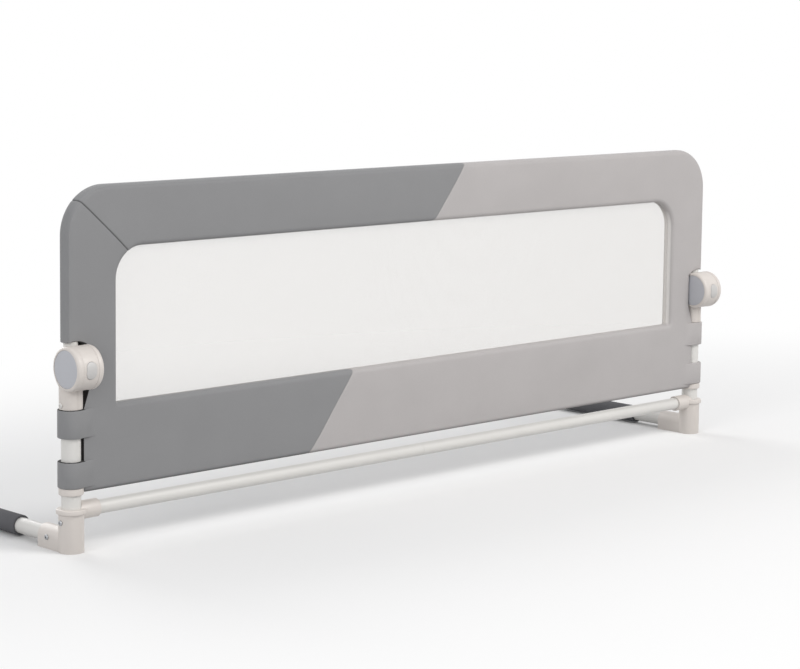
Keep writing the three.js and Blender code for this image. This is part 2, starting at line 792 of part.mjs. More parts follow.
const coverRound = 8;
const hingeGap = 0.6;
const seamGap = 0.4;
const seamBottomX = -268;
const seamTopX = 90;
const notchRadius = 39;
const notchClearance = 2.5;
const notchWidth = 28;
const tabRadius = 20.5;
const tabBlend = 40;
const panelInset = 14;
const tabBottoms = [9.5, 85.4];
const tabTops = [49.6, 128.5];

function upperOutline() {
  const x = railLength / 2;
  const low = axisZ - coverThickness;
  const cornerX = x - outerCornerRadius;
  const cornerZ = coverTop - outerCornerRadius;
  const innerX = windowX - windowCornerRadius;
  const innerZ = windowTop - windowCornerRadius;
  const shape = new THREE.Shape();
  shape.moveTo(windowX, low);
  shape.lineTo(x, low);
  shape.absarc(cornerX, cornerZ, outerCornerRadius, 0, Math.PI / 2, false);
  shape.absarc(-cornerX, cornerZ, outerCornerRadius, Math.PI / 2, Math.PI, false);
  shape.lineTo(-x, low);
  shape.lineTo(-windowX, low);
  shape.absarc(-innerX, innerZ, windowCornerRadius, Math.PI, Math.PI / 2, true);
  shape.absarc(innerX, innerZ, windowCornerRadius, Math.PI / 2, 0, true);
  return shape;
}

function lowerOutline() {
  const x = hubX - panelInset;
  const high = axisZ + coverThickness;
  const shape = new THREE.Shape();
  shape.moveTo(-x, coverBottomHeight);
  shape.lineTo(x, coverBottomHeight);
  shape.lineTo(x, high);
  shape.lineTo(windowX, high);
  shape.lineTo(windowX, windowBottom);
  shape.lineTo(-windowX, windowBottom);
  shape.lineTo(-windowX, high);
  shape.lineTo(-x, high);
  return shape;
}

// Room round a hub: a circle that a straight side clips by the hub's inner face, drawn in below to the
// width of the post
function notch(side) {
  const tip = notchWidth / 2;
  const drop = hubRise - tabTops[1];
  const inner = hubWidth / 2 + notchClearance;
  const rise = Math.sqrt(notchRadius ** 2 - inner ** 2);
  const shape = new THREE.Shape();
  shape.moveTo(tip, -drop);
  shape.lineTo(inner, -rise);
  shape.lineTo(inner, rise);
  shape.absarc(0, 0, notchRadius, Math.atan2(rise, inner), Math.PI, false);
  shape.lineTo(-notchRadius, -drop);
  const room = prism('y', shape, -coverThickness, coverThickness, roundSides / 2);
  return handed(room, -side).translate(side * hubX, 0, axisZ);
}

// Tab that wraps a post and runs out into the panel
function tab(side, from, to) {
  const turn = Math.atan2(coverHalf, tabBlend) + tangentAngle(tabBlend, coverHalf, tabRadius);
  const shape = new THREE.Shape();
  shape.moveTo(tabBlend, -coverHalf);
  shape.lineTo(tabBlend, coverHalf);
  shape.absarc(0, 0, tabRadius, turn, 2 * Math.PI - turn, false);
  const wrap = prism('z', shape, coverBottomHeight + from, coverBottomHeight + to, roundSides / 2);
  return handed(wrap, -side).translate(side * hubX, 0, 0);
}

// Everything on one side of the colour seam, which leans with the given gap to the seam line
function beyondSeam(side) {
  const slope = (seamTopX - seamBottomX) / coverHeight;
  const seamX = (z) => seamBottomX + slope * (z - coverBottomHeight) - side * seamGap / 2;
  const low = coverBottomHeight - coverThickness;
  const high = coverTop + coverThickness;
  const shape = new THREE.Shape();
  shape.moveTo(seamX(low), low);
  shape.lineTo(seamX(high), high);
  shape.lineTo(side * railLength, high);
  shape.lineTo(side * railLength, low);
  return prism('y', shape, -coverThickness, coverThickness);
}

function slab(fromZ, toZ) {
  return block(-railLength, railLength, -coverThickness, coverThickness, fromZ, toZ);
}

function upperCover() {
  const plate = prism('y', upperOutline(), -coverHalf, coverHalf, arcSides, coverRound);
  const belowHinge = slab(0, axisZ + hingeGap / 2);
  const low = axisZ - coverThickness;
  const bores = [-1, 1].map((side) => alongFrame(side, low, -side * coverHalf, tubeRadius + gap, 0));
  return cut(plate, belowHinge, notch(-1), notch(1), ...bores);
}

function lowerCover() {
  const plate = prism('y', lowerOutline(), -coverHalf, coverHalf, arcSides, coverRound);
  const aboveHinge = slab(axisZ - hingeGap / 2, coverTop + coverThickness);
  const panel = cut(plate, aboveHinge, notch(-1), notch(1));
  const tabs = [];
  const bores = [];
  for (const side of [-1, 1]) {
    tabBottoms.forEach((from, i) => tabs.push(tab(side, from, tabTops[i])));
    const socketRoom = rod('z', socketRadius + gap, axisZ - socketDrop - gap, axisZ);
    const collarTop = coverBottomHeight - collarDrop + collarHeight;
    const collarRoom = rod('z', collarRadius + gap, 0, collarTop + gap);
    const postRoom = rod('z', postRadius + gap, 0, coverTop);
    bores.push(...[socketRoom, collarRoom, postRoom].map((room) => room.translate(side * hubX, 0, 0)));
  }
  return cut(join(panel, ...tabs), ...bores);
}

function covers(parent) {
  const upper = upperCover();
  const lower = lowerCover();
  add(parent, 'cover_upper_dark', cut(upper, beyondSeam(1)), darkFabric);
  add(parent, 'cover_upper_light', cut(upper, beyondSeam(-1)), lightFabric);
  add(parent, 'cover_lower_dark', cut(lower, beyondSeam(1)), darkFabric);
  add(parent, 'cover_lower_light', cut(lower, beyondSeam(-1)), lightFabric);
}

// Nets that fill the window over and under the hinge line

const netThickness = 1.6;
const netStrand = 4;
const netColumns = 28;
const netRowsUpper = 5;
const netRowsLower = 2;

// Sheet between two heights that fills the window but for a margin, with its upper corners rounded if asked
function windowSheet(low, high, corner, margin, thickness) {
  const x = windowX - gap - margin;
  const shape = new THREE.Shape();
  shape.moveTo(-x, low + margin);
  shape.lineTo(x, low + margin);
  if (corner > 0) {
    const centreX = windowX - gap - corner;
    const radius = corner - margin;
    shape.absarc(centreX, high - corner, radius, 0, Math.PI / 2, false);
    shape.absarc(-centreX, high - corner, radius, Math.PI / 2, Math.PI, false);
  } else {
    shape.lineTo(x, high - margin);
    shape.lineTo(-x, high - margin);
  }
  return prism('y', shape, -thickness / 2, thickness / 2);
}

// Net with square gaps between two heights, inside a border of half a strand
function net(low, high, rows, corner) {
  const gaps = [];
  const pitchX = 2 * (windowX - gap) / netColumns;
  const pitchZ = (high - low) / rows;
  for (let column = 0; column < netColumns; column++) {
    for (let row = 0; row < rows; row++) {
      const opening = new THREE.BoxGeometry(pitchX - netStrand, netThickness + overrun, pitchZ - netStrand);
      const x = -windowX + gap + (column + 1 / 2) * pitchX;
      gaps.push(opening.translate(x, 0, low + (row + 1 / 2) * pitchZ));
    }
  }
  const inside = windowSheet(low, high, corner, netStrand / 2, netThickness + overrun);
  const sheet = windowSheet(low, high, corner, 0, netThickness);
  return cut(sheet, common(mergeGeometries(gaps), inside));
}

// Assembly, with the origin under the middle of the depth from the buttons' front to the arms' end

const frontY = -hubForward - coreRadius - buttonProud;
const rail = new THREE.Group();
rail.position.y = -(frontY + armLength) / 2;
upperTubes(rail);
crossbars(rail);
for (const [name, side] of Object.entries(hands)) {
  hub(rail, name, side);
  baseSide(rail, name, side);
}
covers(rail);
const upperNet = net(axisZ + hingeGap / 2, windowTop - gap, netRowsUpper, windowCornerRadius);
const lowerNet = net(windowBottom + gap, axisZ - hingeGap / 2, netRowsLower, 0);
add(rail, 'mesh_upper', upperNet, netting);
add(rail, 'mesh_lower', lowerNet, netting);
const part = new THREE.Group();
part.add(rail);

export default part;
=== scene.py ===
import json
import math
from contextlib import contextmanager

import bmesh
import bpy
import numpy as np
from mathutils import Matrix, Vector
from mathutils.geometry import delaunay_2d_cdt


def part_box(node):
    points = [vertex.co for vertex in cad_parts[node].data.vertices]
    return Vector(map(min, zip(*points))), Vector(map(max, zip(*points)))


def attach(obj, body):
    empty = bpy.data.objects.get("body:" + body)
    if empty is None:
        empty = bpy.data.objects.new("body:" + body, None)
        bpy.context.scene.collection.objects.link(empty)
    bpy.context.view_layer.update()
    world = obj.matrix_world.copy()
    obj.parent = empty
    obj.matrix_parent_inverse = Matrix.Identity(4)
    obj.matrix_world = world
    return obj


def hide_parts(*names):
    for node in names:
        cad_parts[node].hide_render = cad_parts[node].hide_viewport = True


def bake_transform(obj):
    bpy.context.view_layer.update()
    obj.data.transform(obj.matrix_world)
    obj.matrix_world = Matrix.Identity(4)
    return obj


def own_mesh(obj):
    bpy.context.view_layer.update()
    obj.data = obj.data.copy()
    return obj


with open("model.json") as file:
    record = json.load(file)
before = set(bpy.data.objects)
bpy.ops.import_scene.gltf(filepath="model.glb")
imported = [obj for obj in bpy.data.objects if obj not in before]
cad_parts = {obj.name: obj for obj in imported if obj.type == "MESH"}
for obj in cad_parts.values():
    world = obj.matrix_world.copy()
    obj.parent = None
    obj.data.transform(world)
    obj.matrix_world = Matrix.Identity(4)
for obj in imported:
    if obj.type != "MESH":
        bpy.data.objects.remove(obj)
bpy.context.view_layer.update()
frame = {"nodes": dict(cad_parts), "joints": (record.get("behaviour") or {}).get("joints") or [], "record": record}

# Places and sizes that the frame gives, in metres

SIDES = {"left": -1, "right": 1}
GAP = 0.0003
OVERRUN = 0.003
WELD = 1e-6


def span(node, axis):
    """Where a node starts and ends along an axis, 0 to 2."""
    low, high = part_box(node)
    return low[axis], high[axis]


def half_size(node, axis):
    start, end = span(node, axis)
    return (end - start) / 2


def centre(node):
    low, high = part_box(node)
    return (low + high) / 2


fold = next(joint for joint in frame["joints"] if joint["name"] == "rail_fold")
_, HINGE_Y, HINGE_Z = fold["pos_m"]
POST_X, PLANE_Y, _ = centre("lower_post_right")
POST_RADIUS = half_size("lower_post_right", 0)
HALF_LENGTH = span("cover_upper_light", 0)[1]
COVER_TOP = span("cover_upper_light", 2)[1]
COVER_BOTTOM = span("cover_lower_light", 2)[0]
HALF_DEPTH = half_size("cover_upper_light", 1)
TAB_RADIUS = span("cover_lower_light", 0)[1] - POST_X
WINDOW_X = span("mesh_upper", 0)[1] + GAP
WINDOW_TOP = span("mesh_upper", 2)[1] + GAP
WINDOW_BOTTOM = span("mesh_lower", 2)[0] - GAP
TUBE_RADIUS = half_size("upper_tube_centre", 1)
TUBE_TOP_Z = centre("upper_tube_centre").z
BUTTON_FRONT_Y = span("release_button_right", 1)[0]

# Solids from profiles and outlines

SEGMENTS = 72
AXIS_ORDER = {"x": (2, 0, 1), "y": (0, 2, 1), "z": (0, 1, 2)}


def mesh_object(name, points, faces):
    mesh = bpy.data.meshes.new(name)
    mesh.from_pydata(points, [], faces)
    return linked(name, mesh)


def linked(name, data):
    """Object of a mesh, camera or lamp, in the scene."""
    made = bpy.data.objects.new(name, data)
    bpy.context.scene.collection.objects.link(made)
    return made


@contextmanager
def edited(thing):
    """Opens a thing's mesh for a change, and writes it back."""
    work = bmesh.new()
    work.from_mesh(thing.data)
    yield work
    work.to_mesh(thing.data)
    work.free()


def solid(points, faces):
    """Closed mesh whose double points are merged and whose faces point out."""
    made = mesh_object("solid", points, faces)
    with edited(made) as work:
        bmesh.ops.remove_doubles(work, verts=work.verts, dist=WELD)
        bmesh.ops.recalc_face_normals(work, faces=work.faces)
    return made


def skin(rows, count, first=0):
    """Faces round rows of points, a count in each row, closed at both ends."""
    last = first + (rows - 1) * count
    faces = [tuple(range(first, first + count)), tuple(range(last + count - 1, last - 1, -1))]
    for low in range(first, last, count):
        for i in range(count):
            n = (i + 1) % count
            faces.append((low + i, low + n, low + count + n, low + count + i))
    return faces


def along_axis(axis, points):
    """Turns points of (across, across, along) to x, y, z for an axis."""
    order = AXIS_ORDER[axis]
    return [tuple(point[i] for i in order) for point in points]


def revolved(axis, profile, segments=SEGMENTS):
    """Body of (radius, place) pairs that start and end on the axis, or else close on themselves."""
    count = len(profile)
    points = []
    for i in range(segments):
        turn = 2 * math.pi * i / segments
        points += [(r * math.cos(turn), r * math.sin(turn), place) for r, place in profile]
    steps = count if profile[0][0] > 0 else count - 1
    faces = []
    for i in range(segments):
        here = i * count
        there = (i + 1) % segments * count
        for k in range(steps):
            n = (k + 1) % count
            faces.append((here + k, there + k, there + n, here + n))
    return solid(along_axis(axis, points), faces)


def pipe(axis, outer, inner, start, end, rim=0.0, segments=SEGMENTS):
    """Tube with its outer end edges rounded off by the rim's radius."""
    profile = [(inner, start)] + rounded_end(outer, start, rim) + rounded_end(outer, end, -rim)[::-1]
    return revolved(axis, profile + [(inner, end)], segments)


def rod(axis, radius, start, end, segments=SEGMENTS):
    return pipe(axis, radius, 0, start, end, segments=segments)


def rounded_end(radius, place, rim, steps=4):
    """Quarter round from an end face at a place to the side, inwards along the axis by rim."""
    if rim == 0:
        return [(radius, place)]
    turns = [math.pi / 2 * i / steps for i in range(steps + 1)]
    size = abs(rim)
    return [(radius - size + size * math.sin(t), place + rim - rim * math.cos(t)) for t in turns]


def prism(axis, outline, start, end):
    points = [(u, v, place) for place in (start, end) for u, v in outline]
    return solid(along_axis(axis, points), skin(2, len(outline)))


def rectangle(low, high):
    return [(low[0], low[1]), (high[0], low[1]), (high[0], high[1]), (low[0], high[1])]


def block(low, high):
    return prism("z", rectangle(low, high), low[2], high[2])


def arc(middle, radius, start, end, steps):
    """Points on a circle from one angle to another, in degrees."""
    turns = [math.radians(start + (end - start) * i / steps) for i in range(steps + 1)]
    return [(middle[0] + radius * math.cos(t), middle[1] + radius * math.sin(t)) for t in turns]


def circle(middle, radius, count):
    return arc(middle, radius, 0, 360, count)[:-1]


def ring_sector(inner, outer, start, end, steps):
    return arc((0, 0), outer, start, end, steps) + arc((0, 0), inner, end, start, steps)


def moved(thing, x=0.0, y=0.0, z=0.0):
    thing.data.transform(Matrix.Translation((x, y, z)))
    return thing


def handed(thing, side):
    """The thing itself on the right, and its mirror image on the left."""
    if side < 0:
        thing.data.transform(Matrix.Diagonal((-1, 1, 1, 1)))
        thing.data.flip_normals()
    return thing


def settled(thing):
    """Applies the thing's modifiers to its mesh."""
    graph = bpy.context.evaluated_depsgraph_get()
    mesh = bpy.data.meshes.new_from_object(thing.evaluated_get(graph))
    thing.modifiers.clear()
    thing.data = mesh
    return thing


def combined(base, operation, tools):
    for tool in tools:
        modifier = base.modifiers.new(operation, "BOOLEAN")
        modifier.operation = operation
        modifier.solver = "MANIFOLD"
        modifier.object = tool
    settled(base)
    for tool in tools:
        bpy.data.objects.remove(tool)
    return base


def joined(base, *tools):
    return combined(base, "UNION", tools)


def cut(base, *tools):
    return combined(base, "DIFFERENCE", tools)


def copied(thing):
    return linked(thing.name, thing.data.copy())


SHARP = math.radians(32)
EASED_SHARP = math.radians(50)
CLOTH_SHARP = math.radians(55)
FLAT = math.radians(0.5)
NEEDLE = 0.000005
SLIVER = 0.00006
FINE_EASE = 0.0002


def smoothed(thing, angle=SHARP):
    """Shades smooth, with edges over an angle kept sharp."""
    thing.data.shade_smooth()
    thing.data.set_sharp_from_angle(angle=angle)
    return thing


def cleaned(thing, reach, flat=0.0):
    """Merges points closer than a reach, and faces that lie in one plane within an angle."""
    with edited(thing) as work:
        bmesh.ops.remove_doubles(work, verts=work.verts, dist=reach)
        bmesh.ops.dissolve_degenerate(work, edges=work.edges, dist=reach)
        if flat > 0:
            bmesh.ops.dissolve_limit(work, angle_limit=flat, verts=work.verts, edges=work.edges)
    return thing


def eased(thing, width=FINE_EASE):
    """Rounds the sharp edges of a hard piece."""
    cleaned(thing, SLIVER, FLAT)
    modifier = thing.modifiers.new("ease", "BEVEL")
    modifier.width = width
    modifier.segments = 3
    modifier.limit_method = "ANGLE"
    modifier.angle_limit = SHARP
    modifier.use_clamp_overlap = width > FINE_EASE
    return smoothed(cleaned(settled(thing), NEEDLE), EASED_SHARP)


# Materials: every colour, roughness and surface comes from nodes


class Nodes:
    """The node tree of a material or world, built by short calls."""

    def __init__(self, owner):
        self.owner = owner
        owner.use_nodes = True
        self.tree = owner.node_tree
        self.tree.nodes.clear()

    def add(self, kind, settings=None, **inputs):
        node = self.tree.nodes.new(kind)
        for key, value in (settings or {}).items():
            setattr(node, key, value)
        for key, value in inputs.items():
            self.feed(node, key.replace("_", " "), value)
        return node

    def feed(self, node, key, value):
        socket = node.inputs[int(key[1:])] if key[1:].isdigit() else node.inputs[key]
        if isinstance(value, bpy.types.NodeSocket):
            self.tree.links.new(value, socket)
        else:
            socket.default_value = value

    def math(self, operation, first, second=0.0):
        node = self.add("ShaderNodeMath", {"operation": operation}, i0=first, i1=second)
        return node.outputs[0]

    def place(self):
        return self.add("ShaderNodeTexCoord").outputs["Object"]

    def kept(self, name, output="Fac"):
        """An attribute that the mesh keeps at its points."""
        return self.add("ShaderNodeAttribute", {"attribute_name": name}).outputs[output]

    def noise(self, where, scale, detail=2.0, roughness=0.5):
        inputs = {"Vector": where, "Scale": scale, "Detail": detail, "Roughness": roughness}
        return self.add("ShaderNodeTexNoise", **inputs).outputs["Fac"]

    def waves(self, where, axis, pitch):
        """Even waves from 0 to 1 along an axis, with a pitch in metres."""
        settings = {"wave_type": "BANDS", "bands_direction": axis}
        node = self.add("ShaderNodeTexWave", settings, Vector=where, Scale=math.pi / 10 / pitch)
        return node.outputs["Fac"]

    def sum(self, first, share, second, other):
        """Two values, each by a share of its own, added up."""
        parts = [self.math("MULTIPLY", first, share), self.math("MULTIPLY", second, other)]
        return self.math("ADD", *parts)

    def shades(self, factor, colour, dark, light):
        """From a darker to a lighter shade of a colour, by a factor."""
        return self.mix(factor, (*scaled(colour, dark), 1), scaled(colour, light))

    def mix(self, factor, first, colour):
        """From a first colour or socket to a colour, by a factor."""
        node = self.add("ShaderNodeMix", {"data_type": "RGBA"}, Factor=factor)
        self.feed(node, "i6", first)
        self.feed(node, "i7", (*colour, 1))
        return node.outputs[2]

    def spread(self, value, low, high):
        node = self.add("ShaderNodeMapRange", Value=value, To_Min=low, To_Max=high)
        return node.outputs["Result"]

    def bump(self, height, strength, distance):
        node = self.add("ShaderNodeBump", Height=height, Strength=strength, Distance=distance)
        return node.outputs["Normal"]

    def finish(self, shader):
        """Ends the tree in a shader, and gives back the material or world."""
        kind = "World" if isinstance(self.owner, bpy.types.World) else "Material"
        self.add("ShaderNodeOutput" + kind, Surface=shader)
        return self.owner

    def surface(self, **inputs):
        return self.finish(self.add("ShaderNodeBsdfPrincipled", **inputs).outputs[0])


def material_nodes(name, colour):
    material = bpy.data.materials.new(name)
    material.diffuse_color = (*colour, 1)
    return Nodes(material)


def linear(red, green, blue):
    """Linear colour of an sRGB colour given in 0 to 255."""
    values = [value / 255 for value in (red, green, blue)]
    return tuple(v / 12.92 if v <= 0.04045 else ((v + 0.055) / 1.055) ** 2.4 for v in values)


def scaled(colour, factor):
    return tuple(min(1.0, value * factor) for value in colour)


def moulded(name, colour, roughness, grain=0.0009, depth=0.00004):
    """Moulded plastic or coated steel: a fine satin grain, and a faint drift of colour and gloss."""
    nodes = material_nodes(name, colour)
    where = nodes.place()
    drift = nodes.noise(where, 22.0, 3.0)
    fine = nodes.noise(where, 1 / grain)
    return nodes.surface(
        Base_Color=nodes.shades(drift, colour, 0.965, 1.03),
        Roughness=nodes.spread(fine, roughness - 0.05, roughness + 0.07),
        Normal=nodes.bump(fine, 0.35, depth),
    )


def zinc(name, colour):
    """Zinc-plated steel with its fine spangle."""
    nodes = material_nodes(name, colour)
    spangle = nodes.noise(nodes.place(), 420.0, 4.0)
    return nodes.surface(
        Base_Color=nodes.shades(spangle, colour, 0.85, 1.1),
        Metallic=1.0,
        Roughness=nodes.spread(spangle, 0.24, 0.42),
        Normal=nodes.bump(spangle, 0.2, 0.00003),
    )


def spongy(name, colour, roughness, cell):
    """Rubber or foam with a fine open skin."""
    nodes = material_nodes(name, colour)
    where = nodes.place()
    cells = nodes.add("ShaderNodeTexVoronoi", Vector=where, Scale=1 / cell).outputs["Distance"]
    drift = nodes.noise(where, 30.0, 3.0)
    return nodes.surface(
        Base_Color=nodes.shades(drift, colour, 0.86, 1.1),
        Roughness=roughness,
        Normal=nodes.bump(cells, 0.5, cell / 6),
    )


WEAVE_PITCH = 0.0011
# Painted shade: share of the cloth's colour that the mitre crease and the lower edge are darkened to
PAINTED_SHADE_DARKNESS = 0.45
# Painted light: pale colour laid on the window's side walls, where light falls on them
PAINTED_LIGHT_COLOUR = linear(232, 229, 226)


def woven(name, colour):
    """Plain weave polyester: warp, weft, slubs, a faint mottle, painted shade along the mitre crease and the lower
    edge, and painted light on the window's sides.
    """
    nodes = material_nodes(name, colour)
    where = nodes.kept("rest", "Vector")
    warp = nodes.waves(where, "X", WEAVE_PITCH)
    weft = nodes.waves(where, "Z", WEAVE_PITCH)
    weave = nodes.math("ABSOLUTE", nodes.math("SUBTRACT", warp, weft))
    slub = nodes.noise(where, 260.0, 3.0, 0.6)
    mottle = nodes.noise(where, 14.0, 4.0)
    shade = nodes.sum(nodes.sum(weave, 0.35, slub, 0.4), 0.6, mottle, 0.5)
    cloth = nodes.shades(shade, colour, 0.9, 1.09)
    # Painted shade: darker cloth where the mesh is marked along the mitre crease and the lower edge
    shaded_cloth = nodes.mix(nodes.kept("seam"), cloth, scaled(colour, PAINTED_SHADE_DARKNESS))
    return nodes.surface(
        # Painted light: paler cloth on the window's sides
        Base_Color=nodes.mix(nodes.kept("painted_light"), shaded_cloth, PAINTED_LIGHT_COLOUR),
        Roughness=nodes.spread(slub, 0.82, 0.95),
        Normal=nodes.bump(nodes.sum(weave, 1.0, slub, 0.5), 0.4, 0.00012),
        Sheen_Weight=0.12,
        Sheen_Roughness=0.45,
        Specular_IOR_Level=0.25,
    )


def threads(name, colour, clear):
    """Net of fine nylon threads that let part of the light through."""
    nodes = material_nodes(name, colour)
    twist = nodes.noise(nodes.kept("rest", "Vector"), 800.0)
    return nodes.surface(
        Base_Color=nodes.shades(twist, colour, 0.96, 1),
        Roughness=nodes.spread(twist, 0.5, 0.7),
        Alpha=1 - clear,
    )


FINISHES = {
    "white_steel": moulded("powder_coat", linear(221, 219, 215), 0.36, grain=0.0006),
    "white_plastic": moulded("warm_white_plastic", linear(217, 210, 204), 0.42),
    "bluish_plastic": moulded("bluish_grey_plastic", linear(187, 188, 193), 0.45),
    "zinc_steel": zinc("zinc_plate", linear(178, 180, 183)),
    "rubber": spongy("dark_rubber", linear(76, 76, 78), 0.7, 0.0012),
    "foam": spongy("dark_foam", linear(94, 94, 97), 0.92, 0.0016),
    "dark_fabric": woven("mid_grey_cloth", linear(143, 143, 144)),
    "light_fabric": woven("light_grey_cloth", linear(185, 181, 180)),
    "netting": threads("white_net", linear(222, 217, 211), 0.56),
}
# Painted shade: near-black cloth on the notch walls and the dark tabs' upper ends, where the cloth lies in shade
# by hub and post
PAINTED_SHADE_CLOTH = woven("painted_shade_black", linear(38, 36, 36))
BUTTON_FINISH = moulded("pale_grey_plastic", linear(201, 199, 197), 0.42)

slot_of = {part["node"]: part["material_slot"] for part in frame["record"]["subparts"]}
body_of = {
    node: body for body, nodes in frame["record"]["behaviour"]["bodies"].items() for node in nodes
}


def remember_rest(thing):
    """Keeps each point's place at rest, so that a weave stays with the cloth when it bends."""
    places = np.array([point.co for point in thing.data.vertices], np.float32)
    rest = thing.data.attributes.new("rest", "FLOAT_VECTOR", "POINT")
    rest.data.foreach_set("vector", places.ravel())
    return thing


def painted(thing, slot, finish=None):
    """Gives a thing its slot's finish, or a shade of its own within that slot."""
    thing.data.materials.clear()
    thing.data.materials.append(finish or FINISHES[slot])
    return thing


def stands_for(thing, node, finish=None):
    """Puts a fine piece in the place of the node of the same shape."""
    thing.name = node + "_fine"
    painted(thing, slot_of[node], finish)
    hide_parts(node)
    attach(thing, body_of[node])
    return thing


# Camera at the photograph's viewpoint

CAMERA_PLACE = (-2.752, -2.9455, 0.839)
CAMERA_YAW = 44.12
CAMERA_PITCH = 6.40
CAMERA_ROLL = 0.69
CAMERA_SHIFT_Y = -0.10
FOCAL_PIXELS = 2300
IMAGE_WIDTH = 800
SENSOR_WIDTH = 36
CAMERA_REACH = 50


def make_camera():
    data = bpy.data.cameras.new("camera")
    data.sensor_width = SENSOR_WIDTH
    data.lens = SENSOR_WIDTH * FOCAL_PIXELS / IMAGE_WIDTH
    data.shift_y = CAMERA_SHIFT_Y
    data.clip_end = CAMERA_REACH
    camera = linked("camera", data)
    pose = Matrix.Translation(CAMERA_PLACE)
    for degrees, axis in ((-CAMERA_YAW, "Z"), (90 - CAMERA_PITCH, "X"), (CAMERA_ROLL, "Z")):
        pose = pose @ Matrix.Rotation(math.radians(degrees), 4, axis)
    camera.matrix_world = pose
    bpy.context.scene.camera = camera


# Padded cover: one outline with its window, padded both ways, then cut at the colour seam

OUTER_CORNER = 0.075
WINDOW_CORNER = 0.050
WINDOW_FOOT = 0.004
EDGE_ROUND = 0.0085
EDGE_WALL = 0.0045
EDGE_TURNS = (12, 24, 34, 40, 45, 50, 56, 66, 78, 90)
BOUND_ROUND = 0.0012
BOUND_TURNS = (40, 65, 90)
# Reach of the painted shade on the front face beside the bound edges
PAINTED_SHADE_REACH = 0.0007
RIM_SLACK = 0.05
CROWN = 0.0014
CROWN_REACH = 0.016
WELT_RISE = 0.0010
WELT_SPREAD = 0.0008
NOTCH_RADIUS = 0.039
NOTCH_SIDE = 0.0265
NOTCH_TIP_Z = 0.2185
PANEL_INSET = 0.014
SEAM_BOTTOM = (-0.268, COVER_BOTTOM)
SEAM_TOP = (0.090, COVER_TOP)
COARSE_STEP = 0.008
FINE_STEP = 0.003
BEND_REACH = 0.031
FRONT_SEED = 11
BACK_SEED = 12
WAVES = ((0.42, 0.00030), (0.21, 0.00026), (0.11, 0.00016), (0.06, 0.00009))
WAVES_OF_A_LENGTH = 3


def step_at(z):
    return FINE_STEP if abs(z - HINGE_Z) < BEND_REACH + COARSE_STEP else COARSE_STEP


def resampled(loop):
    """Adds points to a closed loop, so that no step is longer than the cover needs there."""
    points = []
    for here, there in zip(loop, loop[1:] + loop[:1]):
        length = math.dist(here, there)
        count = max(1, math.ceil(length / min(step_at(here[1]), step_at(there[1]))))
        for i in range(count):
            share = i / count
            points.append([here[k] + (there[k] - here[k]) * share for k in range(2)])
    return np.array(points)


def bound_edge():
    """Right edge of the lower panel and its notch round hub and post, from the foot up to the side."""
    panel = POST_X - PANEL_INSET
    inner = POST_X - NOTCH_SIDE
    rise = math.sqrt(NOTCH_RADIUS**2 - NOTCH_SIDE**2)
    start = math.degrees(math.atan2(rise, -NOTCH_SIDE))
    end = math.degrees(math.acos((HALF_LENGTH - POST_X) / NOTCH_RADIUS))
    edge = [(panel, COVER_BOTTOM), (panel, NOTCH_TIP_Z), (inner, HINGE_Z - rise)]
    return edge + arc((POST_X, HINGE_Z), NOTCH_RADIUS, start, end, 16)


def flipped(points):
    return [(-x, z) for x, z in reversed(points)]


def both_sides(points):
    """An outline's right half, and its mirror image on the left."""
    return points + flipped(points)


def cover_outline():
    """Outer edge, counterclockwise from the right foot."""
    corner = (HALF_LENGTH - OUTER_CORNER, COVER_TOP - OUTER_CORNER)
    return both_sides(bound_edge() + arc(corner, OUTER_CORNER, 0, 90, 28))


def window_outline():
    """Inner edge, clockwise, with large corners above and small ones below."""
    top = (WINDOW_X - WINDOW_CORNER, WINDOW_TOP - WINDOW_CORNER)
    foot = (WINDOW_X - WINDOW_FOOT, WINDOW_BOTTOM + WINDOW_FOOT)
    return both_sides(arc(top, WINDOW_CORNER, 90, 0, 20) + arc(foot, WINDOW_FOOT, 0, -90, 5))


def legs_of(points):
    """Legs from each point to the next, as pairs of ends."""
    points = np.array(points)
    return np.stack([points[:-1], points[1:]], 1)


def soft_legs():
    """Edges that are padded and round: sides, top, bottom and window."""
    outline = cover_outline()
    bound = len(bound_edge())
    over = outline[bound - 1 : len(outline) - bound + 1]
    return np.concatenate([legs_of(over), legs_of([outline[-1], outline[0]]), WINDOW_LEGS])


# Edges that are bound, edges of the window and edges that are soft
BOUND_LEGS = np.concatenate([legs_of(edge) for edge in (bound_edge(), flipped(bound_edge()))])
WINDOW_LEGS = legs_of(window_outline() + window_outline()[:1])
SOFT_LEGS = soft_legs()


def distances(points, legs):
    """Least distance of each point to some legs."""
    starts = legs[None, :, 0, :]
    spans = legs[None, :, 1, :] - starts
    offsets = points[:, None, :] - starts
    share = np.clip((offsets * spans).sum(2) / np.maximum((spans**2).sum(2), WELD**3), 0, 1)
    return np.linalg.norm(offsets - share[:, :, None] * spans, axis=2).min(1)


def inside(points, loop):
    """Whether each point lies inside a closed loop."""
    x, z = points[:, 0][:, None], points[:, 1][:, None]
    x0, z0 = loop[:, 0][None, :], loop[:, 1][None, :]
    x1, z1 = np.roll(loop[:, 0], -1)[None, :], np.roll(loop[:, 1], -1)[None, :]
    rise = np.where(z1 == z0, 1.0, z1 - z0)
    crosses = ((z0 > z) != (z1 > z)) & (x < (x1 - x0) * (z - z0) / rise + x0)
    return crosses.sum(1) % 2 == 1


def rim_points(loop, legs, radius, turns):
    """Rows of points beside a loop's legs, where the padding turns, less those nearer another leg."""
    before = loop - np.roll(loop, 1, axis=0)
    after = np.roll(loop, -1, axis=0) - loop
    normals = []
    for leg in (before, after):
        unit = leg / np.linalg.norm(leg, axis=1)[:, None]
        normals.append(np.stack([-unit[:, 1], unit[:, 0]], 1))
    mitre = normals[0] + normals[1]
    mitre /= (1 + (normals[0] * normals[1]).sum(1))[:, None]
    rows = []
    for turn in turns:
        depth = radius * (1 - math.cos(math.radians(turn)))
        row = loop + mitre * depth
        near = distances(row, legs)
        rows.append(row[np.abs(near - depth) < depth * RIM_SLACK + WELD])
    return np.concatenate(rows)


